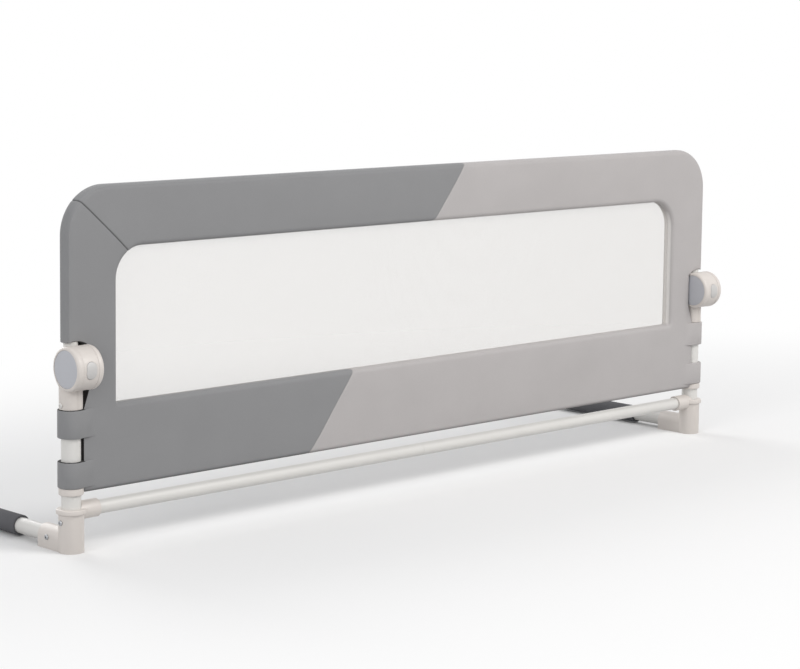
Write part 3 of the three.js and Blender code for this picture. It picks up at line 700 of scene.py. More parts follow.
def field_points(outer, window):
    """Grid of points over the padding's face, closer together where the cover bends."""
    columns = np.arange(-HALF_LENGTH, HALF_LENGTH, COARSE_STEP)
    rows = [COVER_BOTTOM]
    while rows[-1] < COVER_TOP:
        rows.append(rows[-1] + step_at(rows[-1]))
    grid = np.array([(x, z) for z in rows for x in columns])
    keep = inside(grid, outer) & ~inside(grid, window)
    grid = grid[keep]
    margin = np.array([step_at(z) for z in grid[:, 1]]) / 2
    clear = distances(grid, SOFT_LEGS) > EDGE_ROUND + margin
    return grid[clear & (distances(grid, BOUND_LEGS) > BOUND_ROUND + margin)]


def waviness(points, seed):
    """Slight unevenness of foam under cloth, in metres, from waves of given lengths and sizes."""
    chance = np.random.default_rng(seed)
    total = np.zeros(len(points))
    for length, size in WAVES:
        for _ in range(WAVES_OF_A_LENGTH):
            heading = chance.uniform(0, math.pi)
            phase = chance.uniform(0, 2 * math.pi)
            along = points[:, 0] * math.cos(heading) + points[:, 1] * math.sin(heading)
            total += size * np.sin(2 * math.pi * along / length + phase)
    return total


def turned_edge(distance, radius, wall):
    """Half thickness at a distance from an edge of the given rounding, which starts at a wall."""
    share = np.clip(distance / radius, 0, 1)
    return wall + (HALF_DEPTH - wall) * np.sqrt(1 - (1 - share) ** 2)


def half_depth(points, seed):
    """Half thickness of the padding over each point."""
    soft = distances(points, SOFT_LEGS)
    bound = distances(points, BOUND_LEGS)
    rim = np.minimum(
        turned_edge(soft, EDGE_ROUND, EDGE_WALL),
        turned_edge(bound, BOUND_ROUND, HALF_DEPTH - BOUND_ROUND),
    )
    inward = np.maximum(np.minimum(soft - EDGE_ROUND, bound - BOUND_ROUND), 0)
    swell = 1 - np.exp(-inward / CROWN_REACH)
    turn = EDGE_ROUND * (1 - math.cos(math.pi / 4))
    to_side = np.where(distances(points, WINDOW_LEGS) < 2 * EDGE_ROUND, 1.0, soft)
    welt = WELT_RISE * np.exp(-(((to_side - turn) / WELT_SPREAD) ** 2))
    return rim + swell * (CROWN + waviness(points, seed)) + welt


def padded_plate():
    """The whole cover as one closed mesh."""
    outer = resampled(cover_outline())
    window = resampled(window_outline())
    fringe = [
        rim_points(outer, SOFT_LEGS, EDGE_ROUND, EDGE_TURNS),
        rim_points(window, SOFT_LEGS, EDGE_ROUND, EDGE_TURNS),
        rim_points(outer, BOUND_LEGS, BOUND_ROUND, BOUND_TURNS),
    ]
    points = np.concatenate([outer, window, *fringe, field_points(outer, window)])
    edges = loop_edges(0, len(outer)) + loop_edges(len(outer), len(window))
    flat, _, faces, *_ = delaunay_2d_cdt([Vector(p) for p in points], edges, [], 0, WELD / 10)
    flat = np.array([tuple(p) for p in flat])
    faces = np.array([tuple(face) for face in faces])
    middles = flat[faces].mean(1)
    faces = faces[inside(middles, outer) & ~inside(middles, window)]
    count = len(flat)
    front = PLANE_Y - half_depth(flat, FRONT_SEED)
    back = PLANE_Y + half_depth(flat, BACK_SEED)
    shell = [(x, y, z) for depths in (front, back) for (x, z), y in zip(flat, depths)]
    sides = [tuple(face) for face in faces] + [tuple(face[::-1] + count) for face in faces]
    walls = [(start, end, end + count, start + count) for start, end in edges]
    return solid(shell, sides + walls)


def loop_edges(first, count):
    return [(first + i, first + (i + 1) % count) for i in range(count)]


TAB_REACH = 0.040
TAB_BOTTOMS = (0.0995, 0.1754)
TAB_TOPS = (0.1396, 0.2185)
TAB_ROUND = 0.0012


def tab_outline(radius, depth):
    """Wrap round a post that runs out to the panel's thickness."""
    turn = math.degrees(math.atan2(depth, -TAB_REACH) - math.acos(radius / math.hypot(TAB_REACH, depth)))
    return [(-TAB_REACH, -depth)] + arc((0, 0), radius, -turn, turn, 28) + [(-TAB_REACH, depth)]


def tab(side, bottom, top):
    """Cloth tab with softly rounded ends."""
    rises = [(0, TAB_ROUND), (TAB_ROUND / 3, TAB_ROUND / 3), (TAB_ROUND, 0)]
    rows = [(bottom + rise, inset) for rise, inset in rises]
    rows += [(top - rise, inset) for rise, inset in reversed(rises)]
    points = []
    for level, inset in rows:
        ring = tab_outline(TAB_RADIUS - inset, HALF_DEPTH - inset)
        points += [(x, y, level) for x, y in ring]
    wrap = solid(points, skin(len(rows), len(ring)))
    return moved(handed(wrap, side), side * POST_X, PLANE_Y)


LIP_RADIUS = 0.036
LIP_DEPTH = 0.005
LIP_START = 95
LIP_END = 155


def lining_lip(side):
    """Lip of the lining that closes the notch behind the hub, on the cover's rear layer."""
    ring = ring_sector(LIP_RADIUS, NOTCH_RADIUS + OVERRUN, LIP_START, LIP_END, 20)
    back = PLANE_Y + HALF_DEPTH - BOUND_ROUND
    return moved(handed(prism("y", ring, back - LIP_DEPTH, back), side), side * POST_X, 0, HINGE_Z)


SOCKET_RADIUS = 0.018
SOCKET_DROP = 0.064
COLLAR_RADIUS = half_size("post_collar_right", 0)
COLLAR_BOTTOM, COLLAR_TOP = span("post_collar_right", 2)
TUBE_BEND = OUTER_CORNER - HALF_DEPTH
TUBE_BEND_STEPS = 24
TUBE_SIDES = 40


def tube_run(side, radius, foot_z, end_x, inner=0.0):
    """Tube along the frame: up from a foot, round the corner and in to an end."""
    bend = (POST_X - TUBE_BEND, TUBE_TOP_Z - TUBE_BEND)
    path = [(POST_X, foot_z)] + arc(bend, TUBE_BEND, 0, 90, TUBE_BEND_STEPS) + [(end_x, TUBE_TOP_Z)]
    turns = [math.pi / 2 * i / TUBE_BEND_STEPS for i in range(TUBE_BEND_STEPS + 1)]
    points = []
    for (x, z), turn in zip(path, [turns[0], *turns, turns[-1]]):
        for across, y in circle((0, 0), radius, TUBE_SIDES):
            points.append((x + across * math.cos(turn), y, z + across * math.sin(turn)))
    run = moved(handed(solid(points, skin(len(path), TUBE_SIDES)), side), 0, PLANE_Y)
    if inner > 0:
        run = cut(run, tube_run(side, inner, foot_z - OVERRUN, end_x - OVERRUN))
    return run


def hollowed_cover():
    """Cover with its tabs, and with room for the tubes, posts, collars and sockets."""
    cover = padded_plate()
    tabs = [tab(side, *ends) for side in SIDES.values() for ends in zip(TAB_BOTTOMS, TAB_TOPS)]
    lips = [lining_lip(side) for side in SIDES.values()]
    cover = joined(cover, *tabs, *lips)
    rooms = []
    for side in SIDES.values():
        rooms.append(tube_run(side, TUBE_RADIUS + GAP, HINGE_Z, -HALF_DEPTH))
        post = [
            rod("z", SOCKET_RADIUS + GAP, HINGE_Z - SOCKET_DROP - GAP, HINGE_Z),
            rod("z", COLLAR_RADIUS + GAP, 0, COLLAR_TOP + GAP),
            rod("z", POST_RADIUS + GAP, 0, HINGE_Z),
        ]
        rooms += [moved(room, side * POST_X, PLANE_Y) for room in post]
    return cut(cover, *rooms)


CREASE_LINES = (-4, -2, -1, -0.5, 0, 0.5, 1, 2, 4)


def crease(thing, start, end, depth, width, near=None, mark=True):
    """Draws the cloth in along the line between two points of the outline, as a stitched join does, and with mark
    set paints shade along that line.
    """
    normal = Vector((end[1] - start[1], 0, start[0] - end[0])).normalized()
    origin = Vector((start[0], PLANE_Y, start[1]))
    with edited(thing) as work:
        for share in CREASE_LINES:
            parts = [face for face in work.faces if near is None or near(face.calc_center_median())]
            parts += dict.fromkeys(edge for face in parts for edge in face.edges)
            bisect(work, parts, origin + normal * width * share, normal)
        work.normal_update()
        layer = work.verts.layers.float.get("seam") or work.verts.layers.float.new("seam")
        shifts = []
        for vertex in work.verts:
            away = (vertex.co - origin).dot(normal)
            if abs(away) > CREASE_LINES[-1] * width or (near and not near(vertex.co)):
                continue
            shifts.append((vertex, vertex.normal * depth * math.exp(-((away / width) ** 2))))
            # Painted shade: the mark darkens the cloth along the line
            if mark:
                vertex[layer] = max(vertex[layer], math.exp(-((away / width) ** 4)))
        for vertex, shift in shifts:
            vertex.co -= shift


def bisect(work, parts, place, normal):
    """Cuts faces and edges, and the points between them, along a plane."""
    points = dict.fromkeys(point for part in parts for point in part.verts)
    bmesh.ops.bisect_plane(work, geom=[*parts, *points], dist=WELD, plane_co=place, plane_no=normal)


MITRE_START = (-0.722, 0.527)
MITRE_END = (-0.639, 0.453)
MITRE_WIDTH = 0.0010
MITRE_DEPTH = 0.0012
SEAM_WIDTH = 0.0008
SEAM_DEPTH = 0.0007
SEAM_SLIT = 0.0001
SEAM_OVERRUN = 0.1
LOWER_EDGE_SHADE = 0.0044
PAINTED_LIGHT_REACH = 0.0005
PAINTED_LIGHT_FADE = 0.012


def beyond_seam(side):
    """Everything on one side of the line where the two colours meet."""
    along = (Vector(SEAM_TOP) - Vector(SEAM_BOTTOM)).normalized()
    low = Vector(SEAM_BOTTOM) - along * SEAM_OVERRUN
    high = Vector(SEAM_TOP) + along * SEAM_OVERRUN
    slit = side * SEAM_SLIT / 2
    far = side * 2 * HALF_LENGTH
    outline = [(low.x - slit, low.y), (high.x - slit, high.y), (far, high.y), (far, low.y)]
    return prism("y", outline, PLANE_Y - 4 * HALF_DEPTH, PLANE_Y + 4 * HALF_DEPTH)


def in_painted_shade(middle):
    """Whether a face's middle lies where shade is painted: on the notches' walls or on the dark tabs' upper ends.
    """
    x, z = abs(middle[0]), middle[2]
    edge = POST_X - PANEL_INSET
    if middle[0] < -edge and any(abs(z - level) < TAB_ROUND / 2 for level in TAB_TOPS):
        return True
    if abs(x - POST_X) < NOTCH_SIDE - WELD and math.hypot(x - POST_X, z - HINGE_Z) < NOTCH_RADIUS - WELD:
        return True
    on_tab = any(low < z < high for low, high in zip(TAB_BOTTOMS, TAB_TOPS))
    if on_tab or z < COVER_BOTTOM + TAB_ROUND or x < POST_X - NOTCH_SIDE - PAINTED_SHADE_REACH:
        return False
    return distances(np.array([[middle[0], z]]), BOUND_LEGS)[0] < PAINTED_SHADE_REACH


def marked(thing, name, values):
    """Keeps a mark at each point, or the greater one where there is a mark already."""
    marks = thing.data.attributes.get(name) or thing.data.attributes.new(name, "FLOAT", "POINT")
    kept = np.empty(len(marks.data), np.float32)
    marks.data.foreach_get("value", kept)
    marks.data.foreach_set("value", np.maximum(kept, values).astype(np.float32))


def mark_edges(thing):
    """Marks painted shade along the lower edge, and painted light on the window's sides."""
    places = np.array([point.co for point in thing.data.vertices])
    # Painted shade along the cover's lower edge
    marked(thing, "seam", np.exp(-(((places[:, 2] - COVER_BOTTOM) / LOWER_EDGE_SHADE) ** 4)))
    # Painted light on the window's side walls, fading off away from the sides and at the foot
    near = distances(places[:, [0, 2]], WINDOW_LEGS)
    beside = np.clip(1 - (WINDOW_X - np.abs(places[:, 0])) / PAINTED_LIGHT_FADE, 0, 1)
    beside *= np.clip((places[:, 2] - WINDOW_BOTTOM) / WINDOW_FOOT, 0, 1)
    marked(thing, "painted_light", np.exp(-((near / PAINTED_LIGHT_REACH) ** 2)) * beside)


def paint_notch_shade(thing):
    """Paints the shade of the bound edges as near-black cloth, which ends where the tabs run into the panel."""
    with edited(thing) as work:
        for side in SIDES.values():
            place = (side * (POST_X - PANEL_INSET), PLANE_Y, 0)
            bisect(work, work.faces[:] + work.edges[:], place, (1, 0, 0))
    # The second material is the painted shade
    thing.data.materials.append(PAINTED_SHADE_CLOTH)
    middles = np.empty(len(thing.data.polygons) * 3)
    thing.data.polygons.foreach_get("center", middles)
    for face, middle in zip(thing.data.polygons, middles.reshape(-1, 3)):
        face.material_index = int(in_painted_shade(middle))


def in_mitre_corner(place):
    return place.x < MITRE_END[0] + OUTER_CORNER / 4 and place.z > MITRE_END[1] - OUTER_CORNER / 4


def make_cover():
    cover = hollowed_cover()
    crease(cover, SEAM_BOTTOM, SEAM_TOP, SEAM_DEPTH, SEAM_WIDTH, mark=False)
    # Mitre crease, with painted shade along it
    crease(cover, MITRE_START, MITRE_END, MITRE_DEPTH, MITRE_WIDTH, near=in_mitre_corner)
    mark_edges(cover)
    light = cut(copied(cover), beyond_seam(-1))
    dark = cut(cover, beyond_seam(1))
    for piece, shade in ((dark, "dark"), (light, "light")):
        piece.name = f"cover_{shade}"
        painted(cleaned(piece, NEEDLE), f"{shade}_fabric")
        paint_notch_shade(piece)
        smoothed(piece, CLOTH_SHARP)
        remember_rest(piece)
        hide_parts(f"cover_upper_{shade}", f"cover_lower_{shade}")
        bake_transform(piece)


# Net in the window, of real threads

NET_PITCH = 0.00125
THREAD = 0.00023
NET_TUCK = 0.0015
NET_LAP = 0.42 * THREAD
BEND_ROWS = 10


def net_levels(top):
    """Heights at which an upright thread has a ring, close together where it bends."""
    bottom = WINDOW_BOTTOM - NET_TUCK
    bend = [HINGE_Z + BEND_REACH * (2 * i / BEND_ROWS - 1) for i in range(BEND_ROWS + 1)]
    return [bottom] + [level for level in bend if bottom < level < top] + [top]


def corner_drop(past):
    """How far the window's edge falls back in its upper corner, at a way past the corner's start."""
    return WINDOW_CORNER - math.sqrt(max(WINDOW_CORNER**2 - max(past, 0) ** 2, 0))


def square(u, v):
    """Section of a thread."""
    half = THREAD / 2
    return rectangle((u - half, v - half), (u + half, v + half))


def make_net():
    strands = []
    across = int((WINDOW_X - NET_PITCH / 4) / NET_PITCH)
    for i in range(-across, across + 1):
        x = i * NET_PITCH
        levels = net_levels(WINDOW_TOP - corner_drop(abs(x) - WINDOW_X + WINDOW_CORNER) + NET_TUCK)
        section = square(x, PLANE_Y + NET_LAP)
        strands.append([(u, v, level) for level in levels for u, v in section])
    for i in range(int((WINDOW_TOP - WINDOW_BOTTOM) / NET_PITCH)):
        z = WINDOW_BOTTOM + (i + 0.5) * NET_PITCH
        reach = WINDOW_X - corner_drop(z - WINDOW_TOP + WINDOW_CORNER) + NET_TUCK
        section = square(PLANE_Y - NET_LAP, z)
        strands.append([(x, v, w) for x in (-reach, reach) for v, w in section])
    points = []
    faces = []
    for strand in strands:
        faces += skin(len(strand) // 4, 4, len(points))
        points += strand
    net = mesh_object("net", points, faces)
    with edited(net) as work:
        bmesh.ops.recalc_face_normals(work, faces=work.faces)
    painted(net, "netting")
    remember_rest(net)
    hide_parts("mesh_upper", "mesh_lower")
    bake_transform(net)


# Hubs, in a frame at the hub's axis with X outwards and -Y to the front

HUB_RADIUS = 0.034
HUB_HALF = 0.024
HUB_SEGMENTS = 96
CHEEK = 0.010
CHEEK_IN = HUB_HALF - CHEEK
CHEEK_ROUND = 0.005
CAP_RADIUS = HUB_RADIUS - CHEEK_ROUND
CAP_RECESS = 0.0016
CAP_FLOOR = HUB_HALF - CAP_RECESS
CAP_DOME = 0.0011
CAP_EDGE = 0.0007
CAP_RINGS = 12
CORE_RADIUS = HUB_RADIUS - GAP
CORE_HALF = CHEEK_IN - GAP
PIVOT_RADIUS = 0.005
TUBE_BACK = PLANE_Y - HINGE_Y
TUBE_SEAT = 0.008
BUTTON_PROUD = HINGE_Y - BUTTON_FRONT_Y - CORE_RADIUS
SWEEP_RADIUS = CORE_RADIUS + BUTTON_PROUD + GAP
BUTTON_WIDTH = 2 * half_size("release_button_right", 0)
BUTTON_HEIGHT = 2 * half_size("release_button_right", 2)
BUTTON_BACK = 0.0187
BUTTON_TRAVEL = 0.004
BUTTON_EASE = 0.0006
BAR_FRONT = 0.0275
BAR_BACK = 0.0205
BAR_HALF = 0.0012
GROOVE_INNER = 0.0158
GROOVE_OUTER = 0.0283
GROOVE_DEPTH = 0.0053
GROOVE_START = 178
GROOVE_END = 362
BOSS_TOP = 0.028
BOSS_BOTTOM = 0.0123
BOSS_WALL = 0.002
SOCKET_TOP = 0.038
EAR_DROP = 0.018
WALL_THICKNESS = 0.004
WALL_LAP = 0.004
WALL_START = -65
WALL_TOP = 0.012
CLAMP_DROP = 0.0575
CLAMP_SHANK = 0.0025


def cheek_disc():
    """Cheek with a rounded rim and the cap's recess."""
    rim = arc((CAP_RADIUS, HUB_HALF - CHEEK_ROUND), CHEEK_ROUND, 0, 90, 10)
    profile = [(0, CHEEK_IN), (HUB_RADIUS, CHEEK_IN), *rim, (CAP_RADIUS, CAP_FLOOR), (0, CAP_FLOOR)]
    return revolved("x", profile, HUB_SEGMENTS)


def rear_wall():
    """Wall behind the core, from the socket up to the stop."""
    outer = SWEEP_RADIUS + WALL_THICKNESS
    rise = math.degrees(math.asin(WALL_TOP / outer))
    layers = [
        prism("x", ring_sector(inner, outer, WALL_START, rise, 24), start, CHEEK_IN + WALL_LAP)
        for inner, start in ((SWEEP_RADIUS, GAP / 2), (SWEEP_RADIUS - WALL_LAP, CHEEK_IN))
    ]
    return joined(*layers)


def housing_half():
    socket = moved(rod("z", SOCKET_RADIUS, -SOCKET_DROP, -EAR_DROP), 0, TUBE_BACK)
    sweep = rod("x", SWEEP_RADIUS, -CHEEK_IN, CHEEK_IN, HUB_SEGMENTS)
    ring = ring_sector(GROOVE_INNER, GROOVE_OUTER, GROOVE_START, GROOVE_END, 40)
    groove = prism("x", ring, CHEEK_IN - OVERRUN, CHEEK_IN + GROOVE_DEPTH)
    body = joined(cut(joined(cheek_disc(), cut(socket, sweep)), groove), rear_wall())
    far = SOCKET_DROP + HUB_RADIUS
    other_half = block((-HUB_HALF - OVERRUN, -far, -far), (GAP / 2, far, far))
    bore = moved(rod("z", POST_RADIUS + GAP, -SOCKET_DROP - OVERRUN, -SOCKET_TOP), 0, TUBE_BACK)
    screw = moved(rod("x", CLAMP_SHANK, 0, HUB_HALF, 24), 0, TUBE_BACK, -CLAMP_DROP)
    return cut(body, other_half, bore, screw)


def hub_cap():
    """Lens-shaped cap in the cheek's recess."""
    radius = CAP_RADIUS - GAP
    profile = [(0, CAP_FLOOR + GAP), (radius, CAP_FLOOR + GAP), (radius, HUB_HALF - CAP_EDGE)]
    for share in (i / CAP_RINGS for i in reversed(range(CAP_RINGS))):
        profile.append(((radius - CAP_EDGE) * share, HUB_HALF + CAP_DOME * (1 - share**2)))
    return revolved("x", profile, HUB_SEGMENTS)


def oval(width, height, steps=24):
    half = width / 2
    straight = height / 2 - half
    return arc((0, straight), half, 0, 180, steps) + arc((0, -straight), half, 180, 360, steps)


def bar_slot(reach, back):
    """Room of the lock bar, open to both sides."""
    half = BAR_HALF + GAP
    return block((-reach, -BAR_FRONT - GAP, -half), (reach, -back, half))


def hub_core():
    """Drum with a boss for the tube, and with room for button, lock bar and pivot."""
    drum = pipe("x", CORE_RADIUS, 0, -CORE_HALF, CORE_HALF, FINE_EASE, HUB_SEGMENTS)
    boss = circle((0, TUBE_BACK), TUBE_RADIUS + GAP + BOSS_WALL, 48)
    button = oval(BUTTON_WIDTH + 2 * GAP, BUTTON_HEIGHT + 2 * GAP)
    pocket = prism("y", button, -CORE_RADIUS - OVERRUN, BUTTON_TRAVEL + GAP - BUTTON_BACK)
    tube = rod("z", TUBE_RADIUS + GAP, TUBE_SEAT - GAP, HUB_RADIUS + OVERRUN)
    slot = bar_slot(HUB_HALF, BAR_BACK - BUTTON_TRAVEL - GAP)
    pivot = rod("x", PIVOT_RADIUS + GAP, -HUB_HALF, HUB_HALF, 48)
    core = joined(drum, prism("z", boss, BOSS_BOTTOM, BOSS_TOP))
    return cut(core, pocket, moved(tube, 0, TUBE_BACK), slot, pivot)


def release_button():
    """Oval button with a face that follows the hub."""
    body = prism("y", oval(BUTTON_WIDTH, BUTTON_HEIGHT), -HUB_RADIUS - OVERRUN, -BUTTON_BACK)
    face = rod("x", CORE_RADIUS + BUTTON_PROUD, -CORE_HALF, CORE_HALF, 128)
    button = combined(body, "INTERSECT", [face])
    return cut(button, bar_slot(BUTTON_WIDTH, BAR_BACK - GAP))


SPRING_WIRE = 0.0008
SPRING_TURNS = 4
SPRING_STEPS = 24
SPRING_SIDES = 8


def make_spring(name):
    """Coil of round wire behind a button, built at one length; the real spring shortens as the button goes in."""
    node = f"button_spring_{name}"
    start, end = span(node, 1)
    x, _, z = centre(node)
    wire = SPRING_WIRE / 2
    steps = SPRING_TURNS * SPRING_STEPS
    points = []
    for i in range(steps + 1):
        turn = 2 * math.pi * i / SPRING_STEPS
        middle = (half_size(node, 2) - wire, start + wire + (end - start - SPRING_WIRE) * i / steps)
        for across, along in circle(middle, wire, SPRING_SIDES):
            points.append((across * math.cos(turn), along, across * math.sin(turn)))
    coil = moved(solid(points, skin(steps + 1, SPRING_SIDES)), x, 0, z)
    spring = stands_for(smoothed(coil), node)
    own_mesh(spring)


def make_hub(name, side):
    def put(thing, face=1):
        return moved(handed(thing, face), side * POST_X, HINGE_Y, HINGE_Z)

    faces = {"outer": side, "inner": -side}
    for place, face in faces.items():
        stands_for(eased(put(housing_half(), face)), f"hub_housing_{place}_{name}")
    for place, face in faces.items():
        stands_for(smoothed(put(hub_cap(), face)), f"hub_cap_{place}_{name}")
    stands_for(eased(put(hub_core())), f"hub_core_{name}")
    stands_for(eased(put(release_button()), BUTTON_EASE), f"release_button_{name}", BUTTON_FINISH)
    make_spring(name)


# Frame below: posts, collars, corner pieces, arms and crossbar

TUBE_WALL = 0.0015
COLLAR_RIM = 0.0015
FLANGE_DROP = 0.023
FLANGE_TOP = COVER_BOTTOM - FLANGE_DROP
FLANGE_RADIUS = 0.023
FLANGE_HEIGHT = 0.007
FLANGE_ROUND = 0.002
FLANGE_EDGE = 0.0004
FILLET_RISE = 0.004
FILLET_REACH = 0.0035
FOOT_RADIUS = 0.0195
POST_SEAT = 0.034
ARM_RADIUS = half_size("arm_tube_right", 0)
ARM_Z = centre("arm_tube_right").z
ARM_SOCKET = 0.064
ARM_SOCKET_WALL = 0.004
ARM_SEAT = 0.008
GRIP_RIM = 0.0012
END_WALL = 0.005
END_EASE = 0.0012
BAR_RADIUS = half_size("crossbar_right", 1)
BAR_Z = centre("crossbar_right").z
BAR_SOCKET = 0.046
BAR_SOCKET_WALL = 0.0032
BAR_SEAT = 0.020
NECK_REACH = 0.010
BEAD_REACH = 0.004


def sole(radius):
    """Flat-bottomed outline with a round top."""
    return [(-radius, 0), (radius, 0)] + arc((0, ARM_Z), radius, 0, 180, 32)


def foot_connector():
    """Corner piece at the origin of its post, for the right side."""
    low = FLANGE_TOP - FLANGE_HEIGHT
    profile = [(0, 0), (FOOT_RADIUS, 0)]
    for turn in (math.pi / 8 * i for i in range(5)):
        reach = FOOT_RADIUS + FILLET_REACH * (1 - math.cos(turn))
        profile.append((reach, low - FILLET_RISE * (1 - math.sin(turn))))
    profile += rounded_end(FLANGE_RADIUS, low, FLANGE_EDGE)
    profile += rounded_end(FLANGE_RADIUS, FLANGE_TOP, -FLANGE_ROUND)[::-1] + [(0, FLANGE_TOP)]
    arm = prism("y", sole(ARM_RADIUS + ARM_SOCKET_WALL), 0, ARM_SOCKET)
    bar = moved(rod("x", BAR_RADIUS + BAR_SOCKET_WALL, -BAR_SOCKET, 0), 0, 0, BAR_Z)
    post_bore = rod("z", POST_RADIUS + GAP, POST_SEAT, COVER_BOTTOM)
    arm_bore = moved(rod("y", ARM_RADIUS + GAP, ARM_SEAT, ARM_SOCKET + OVERRUN), 0, 0, ARM_Z)
    bar_bore = moved(rod("x", BAR_RADIUS + GAP, -BAR_SOCKET - OVERRUN, -BAR_SEAT), 0, 0, BAR_Z)
    return cut(joined(revolved("z", profile), arm, bar), post_bore, arm_bore, bar_bore)


def arm_end_cap():
    start, end = span("arm_end_cap_right", 1)
    cap = prism("y", sole(ARM_RADIUS + ARM_SOCKET_WALL), start, end)
    return cut(cap, moved(rod("y", ARM_RADIUS + GAP, 0, end - END_WALL), 0, 0, ARM_Z))


def make_base_side(name, side):
    x = side * POST_X
    post = pipe("z", POST_RADIUS, POST_RADIUS - TUBE_WALL, *span("lower_post_right", 2))
    collar = pipe("z", COLLAR_RADIUS, POST_RADIUS + GAP, COLLAR_BOTTOM, COLLAR_TOP, COLLAR_RIM)
    foot = handed(foot_connector(), side)
    arm = pipe("y", ARM_RADIUS, ARM_RADIUS - TUBE_WALL, *span("arm_tube_right", 1))
    sleeve = half_size("arm_grip_right", 0)
    grip = pipe("y", sleeve, ARM_RADIUS + GAP, *span("arm_grip_right", 1), GRIP_RIM)
    pieces = {
        "lower_post": smoothed(moved(post, x, PLANE_Y)),
        "post_collar": smoothed(moved(collar, x, PLANE_Y)),
        "foot_connector": eased(moved(foot, x, PLANE_Y)),
        "arm_tube": smoothed(moved(arm, x, 0, ARM_Z)),
        "arm_grip": smoothed(moved(grip, x, 0, ARM_Z)),
        "arm_end_cap": eased(moved(arm_end_cap(), x), END_EASE),
    }
    for kind, piece in pieces.items():
        stands_for(piece, f"{kind}_{name}")


def make_crossbars():
    """Lower crossbar, whose left section ends in a bead and a neck that goes into the right one."""
    neck = BAR_RADIUS - TUBE_WALL - GAP
    for name in SIDES:
        start, tip = span(f"crossbar_{name}", 0)
        end = -GAP if name == "left" else tip
        bar = pipe("x", BAR_RADIUS, BAR_RADIUS - TUBE_WALL, start, end)
        if name == "left":
            inner = pipe("x", neck, neck - TUBE_WALL, -NECK_REACH, tip)
            bar = joined(bar, inner, pipe("x", BAR_RADIUS, neck - TUBE_WALL, -BEAD_REACH, end))
        stands_for(smoothed(cleaned(moved(bar, 0, PLANE_Y, BAR_Z), NEEDLE)), f"crossbar_{name}")


def make_upper_tubes():
    end = span("upper_tube_right", 0)[0]
    for name, side in SIDES.items():
        foot = span(f"upper_tube_{name}", 2)[0]
        run = tube_run(side, TUBE_RADIUS, foot, end, TUBE_RADIUS - TUBE_WALL)
        stands_for(smoothed(run), f"upper_tube_{name}")


# Screws with a rounded head and a cross recess

SCREWS = (("housing_screw", "x"), ("post_screw", "x"), ("arm_screw", "x"), ("crossbar_screw", "y"))
HEAD_HEIGHT = 0.0024
LOW_HEAD_HEIGHT = 0.0022
SHANK_RADIUS = 0.0021
SHANK_LAP = 0.3
HEAD_SIDE = 0.35
RECESS_REACH = 0.55
RECESS_WIDTH = 0.11
RECESS_DEPTH = 0.55


def screw_head(axis, radius, height):
    """Pan head whose seat lies at 0, with a cross recess."""
    profile = [(0, 0), (radius, 0)]
    for turn in (math.pi / 16 * i for i in range(9)):
        rise = HEAD_SIDE + (1 - HEAD_SIDE) * math.sin(turn)
        profile.append((radius * math.cos(turn), height * rise))
    arm = radius * RECESS_REACH
    thin = radius * RECESS_WIDTH
    slots = [
        prism(axis, rectangle((-u, -v), (u, v)), height * (1 - RECESS_DEPTH), height + OVERRUN)
        for u, v in ((arm, thin), (thin, arm))
    ]
    return cut(revolved(axis, profile, 40), *slots)


def make_screws():
    """Screws whose heads show, at their nodes' places. Those of the housings are painted white."""
    for name, side in SIDES.items():
        for kind, axis in SCREWS:
            node = f"{kind}_{name}"
            along = "xyz".index(axis)
            start, end = span(node, along)
            outward = side if axis == "x" else 1
            white = kind == "housing_screw"
            height = LOW_HEAD_HEIGHT if white else HEAD_HEIGHT
            shank = rod(axis, SHANK_RADIUS, height - (end - start), height * SHANK_LAP, 24)
            screw = handed(joined(screw_head(axis, half_size(node, 2), height), shank), outward)
            place = centre(node)
            place[along] = (end if outward > 0 else start) - outward * height
            finish = FINISHES["white_steel"] if white else None
            stands_for(smoothed(moved(screw, *place)), node, finish)


def dress_nodes():
    """Gives each node that stays its finish."""
    for node, thing in frame["nodes"].items():
        if thing.hide_render:
            continue
        if not thing.material_slots:
            thing.data.materials.append(FINISHES[slot_of[node]])
        for slot in thing.material_slots:
            slot.link = "OBJECT"
            slot.material = FINISHES[slot_of[node]]


# Floor, backdrop and light

FLOOR_COLOUR = (0.88, 0.878, 0.875)
BOUNCE_COLOUR = (0.55, 0.55, 0.55, 1)
WHITE = (1, 1, 1, 1)
FLOOR_HALF = 12.0
FADE_STRETCH = (0.6, 1, 1)
LIT_REACH = 0.5
WHITE_REACH = 1.4
WORLD_COLOUR = (0.97, 0.98, 1.0, 1)
WORLD_STRENGTH = 0.6
LAMP_TARGET = Vector((0, 0, 0.3))
# Place, size, power and colour of each lamp
LAMPS = {
    "key": ((1.2, -3.4, 3.0), 2.4, 96, (1.0, 0.985, 0.965)),
    "rear": ((0.2, 3.8, 1.7), 2.6, 56, (1.0, 0.995, 0.985)),
    "left": ((-4.6, -1.4, 2.0), 2.6, 54, (0.985, 0.99, 1.0)),
}


def seen_directly(nodes):
    """1 for camera, glossy and transmission rays, and 0 for the light on the object."""
    rays = nodes.add("ShaderNodeLightPath").outputs
    seen = nodes.math("MAXIMUM", rays["Is Camera Ray"], rays["Is Glossy Ray"])
    return nodes.math("MAXIMUM", seen, rays["Is Transmission Ray"])


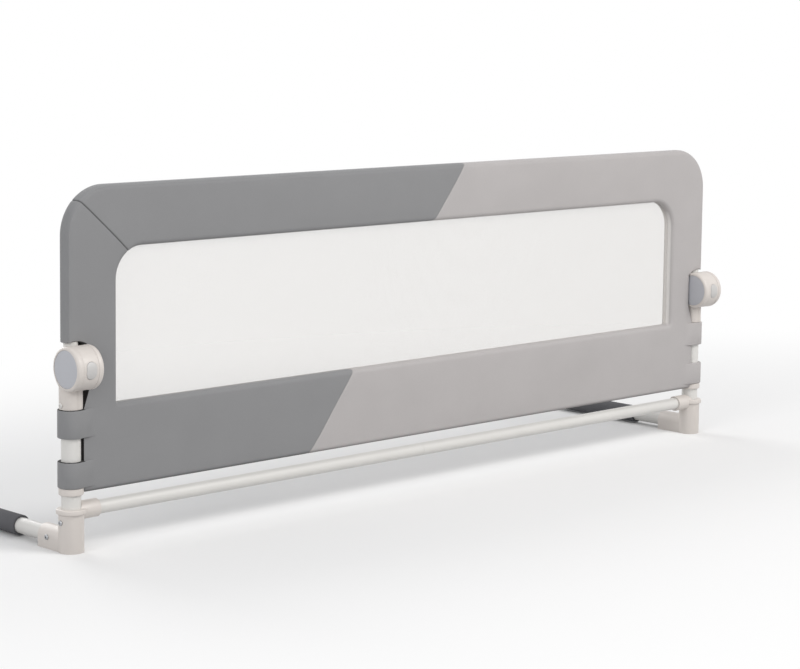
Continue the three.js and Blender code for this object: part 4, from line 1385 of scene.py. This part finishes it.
def white_far_off(nodes, lit):
    """The lit floor near the rail, whose shadow it shows, and plain white further off."""
    scale = {"operation": "MULTIPLY"}
    stretched = nodes.add("ShaderNodeVectorMath", scale, i0=nodes.place(), i1=FADE_STRETCH)
    reach = nodes.add("ShaderNodeVectorMath", {"operation": "LENGTH"}, i0=stretched.outputs[0])
    far = nodes.add(
        "ShaderNodeMapRange", {"interpolation_type": "SMOOTHSTEP"},
        Value=reach.outputs["Value"], From_Min=LIT_REACH, From_Max=WHITE_REACH,
    )
    white = nodes.add("ShaderNodeEmission", Color=WHITE, Strength=1.0)
    share = nodes.math("MULTIPLY", far.outputs["Result"], seen_directly(nodes))
    return nodes.add("ShaderNodeMixShader", i0=share, i1=lit, i2=white.outputs[0]).outputs[0]


def make_stage():
    """Pale flat floor, which throws less light back on the rail than it shows."""
    outline = rectangle((-FLOOR_HALF, -FLOOR_HALF), (FLOOR_HALF, FLOOR_HALF))
    floor = mesh_object("floor", [(x, y, 0) for x, y in outline], [(0, 1, 2, 3)])
    nodes = material_nodes("pale_floor", FLOOR_COLOUR)
    shown = nodes.mix(seen_directly(nodes), BOUNCE_COLOUR, FLOOR_COLOUR)
    diffuse = nodes.add("ShaderNodeBsdfDiffuse", Color=shown)
    floor.data.materials.append(nodes.finish(white_far_off(nodes, diffuse.outputs[0])))


def make_world():
    """Dim light from all round, which shows as plain white."""
    nodes = Nodes(bpy.data.worlds.new("studio"))
    dim = nodes.add("ShaderNodeBackground", Color=WORLD_COLOUR, Strength=WORLD_STRENGTH)
    white = nodes.add("ShaderNodeBackground", Color=WHITE, Strength=1.0)
    seen = seen_directly(nodes)
    mix = nodes.add("ShaderNodeMixShader", i0=seen, i1=dim.outputs[0], i2=white.outputs[0])
    bpy.context.scene.world = nodes.finish(mix.outputs[0])


def make_lamps():
    for name, (place, size, power, colour) in LAMPS.items():
        data = bpy.data.lights.new(name, "AREA")
        data.shape = "DISK"
        data.size = size
        data.energy = power
        data.color = colour
        lamp = linked(name, data)
        lamp.location = place
        aim = LAMP_TARGET - Vector(place)
        lamp.rotation_euler = aim.to_track_quat("-Z", "Y").to_euler()


bpy.context.scene.view_settings.view_transform = "Standard"
make_camera()
make_cover()
make_net()
make_upper_tubes()
for hand, sign in SIDES.items():
    make_hub(hand, sign)
    make_base_side(hand, sign)
make_crossbars()
make_screws()
dress_nodes()
make_stage()
make_world()
make_lamps()
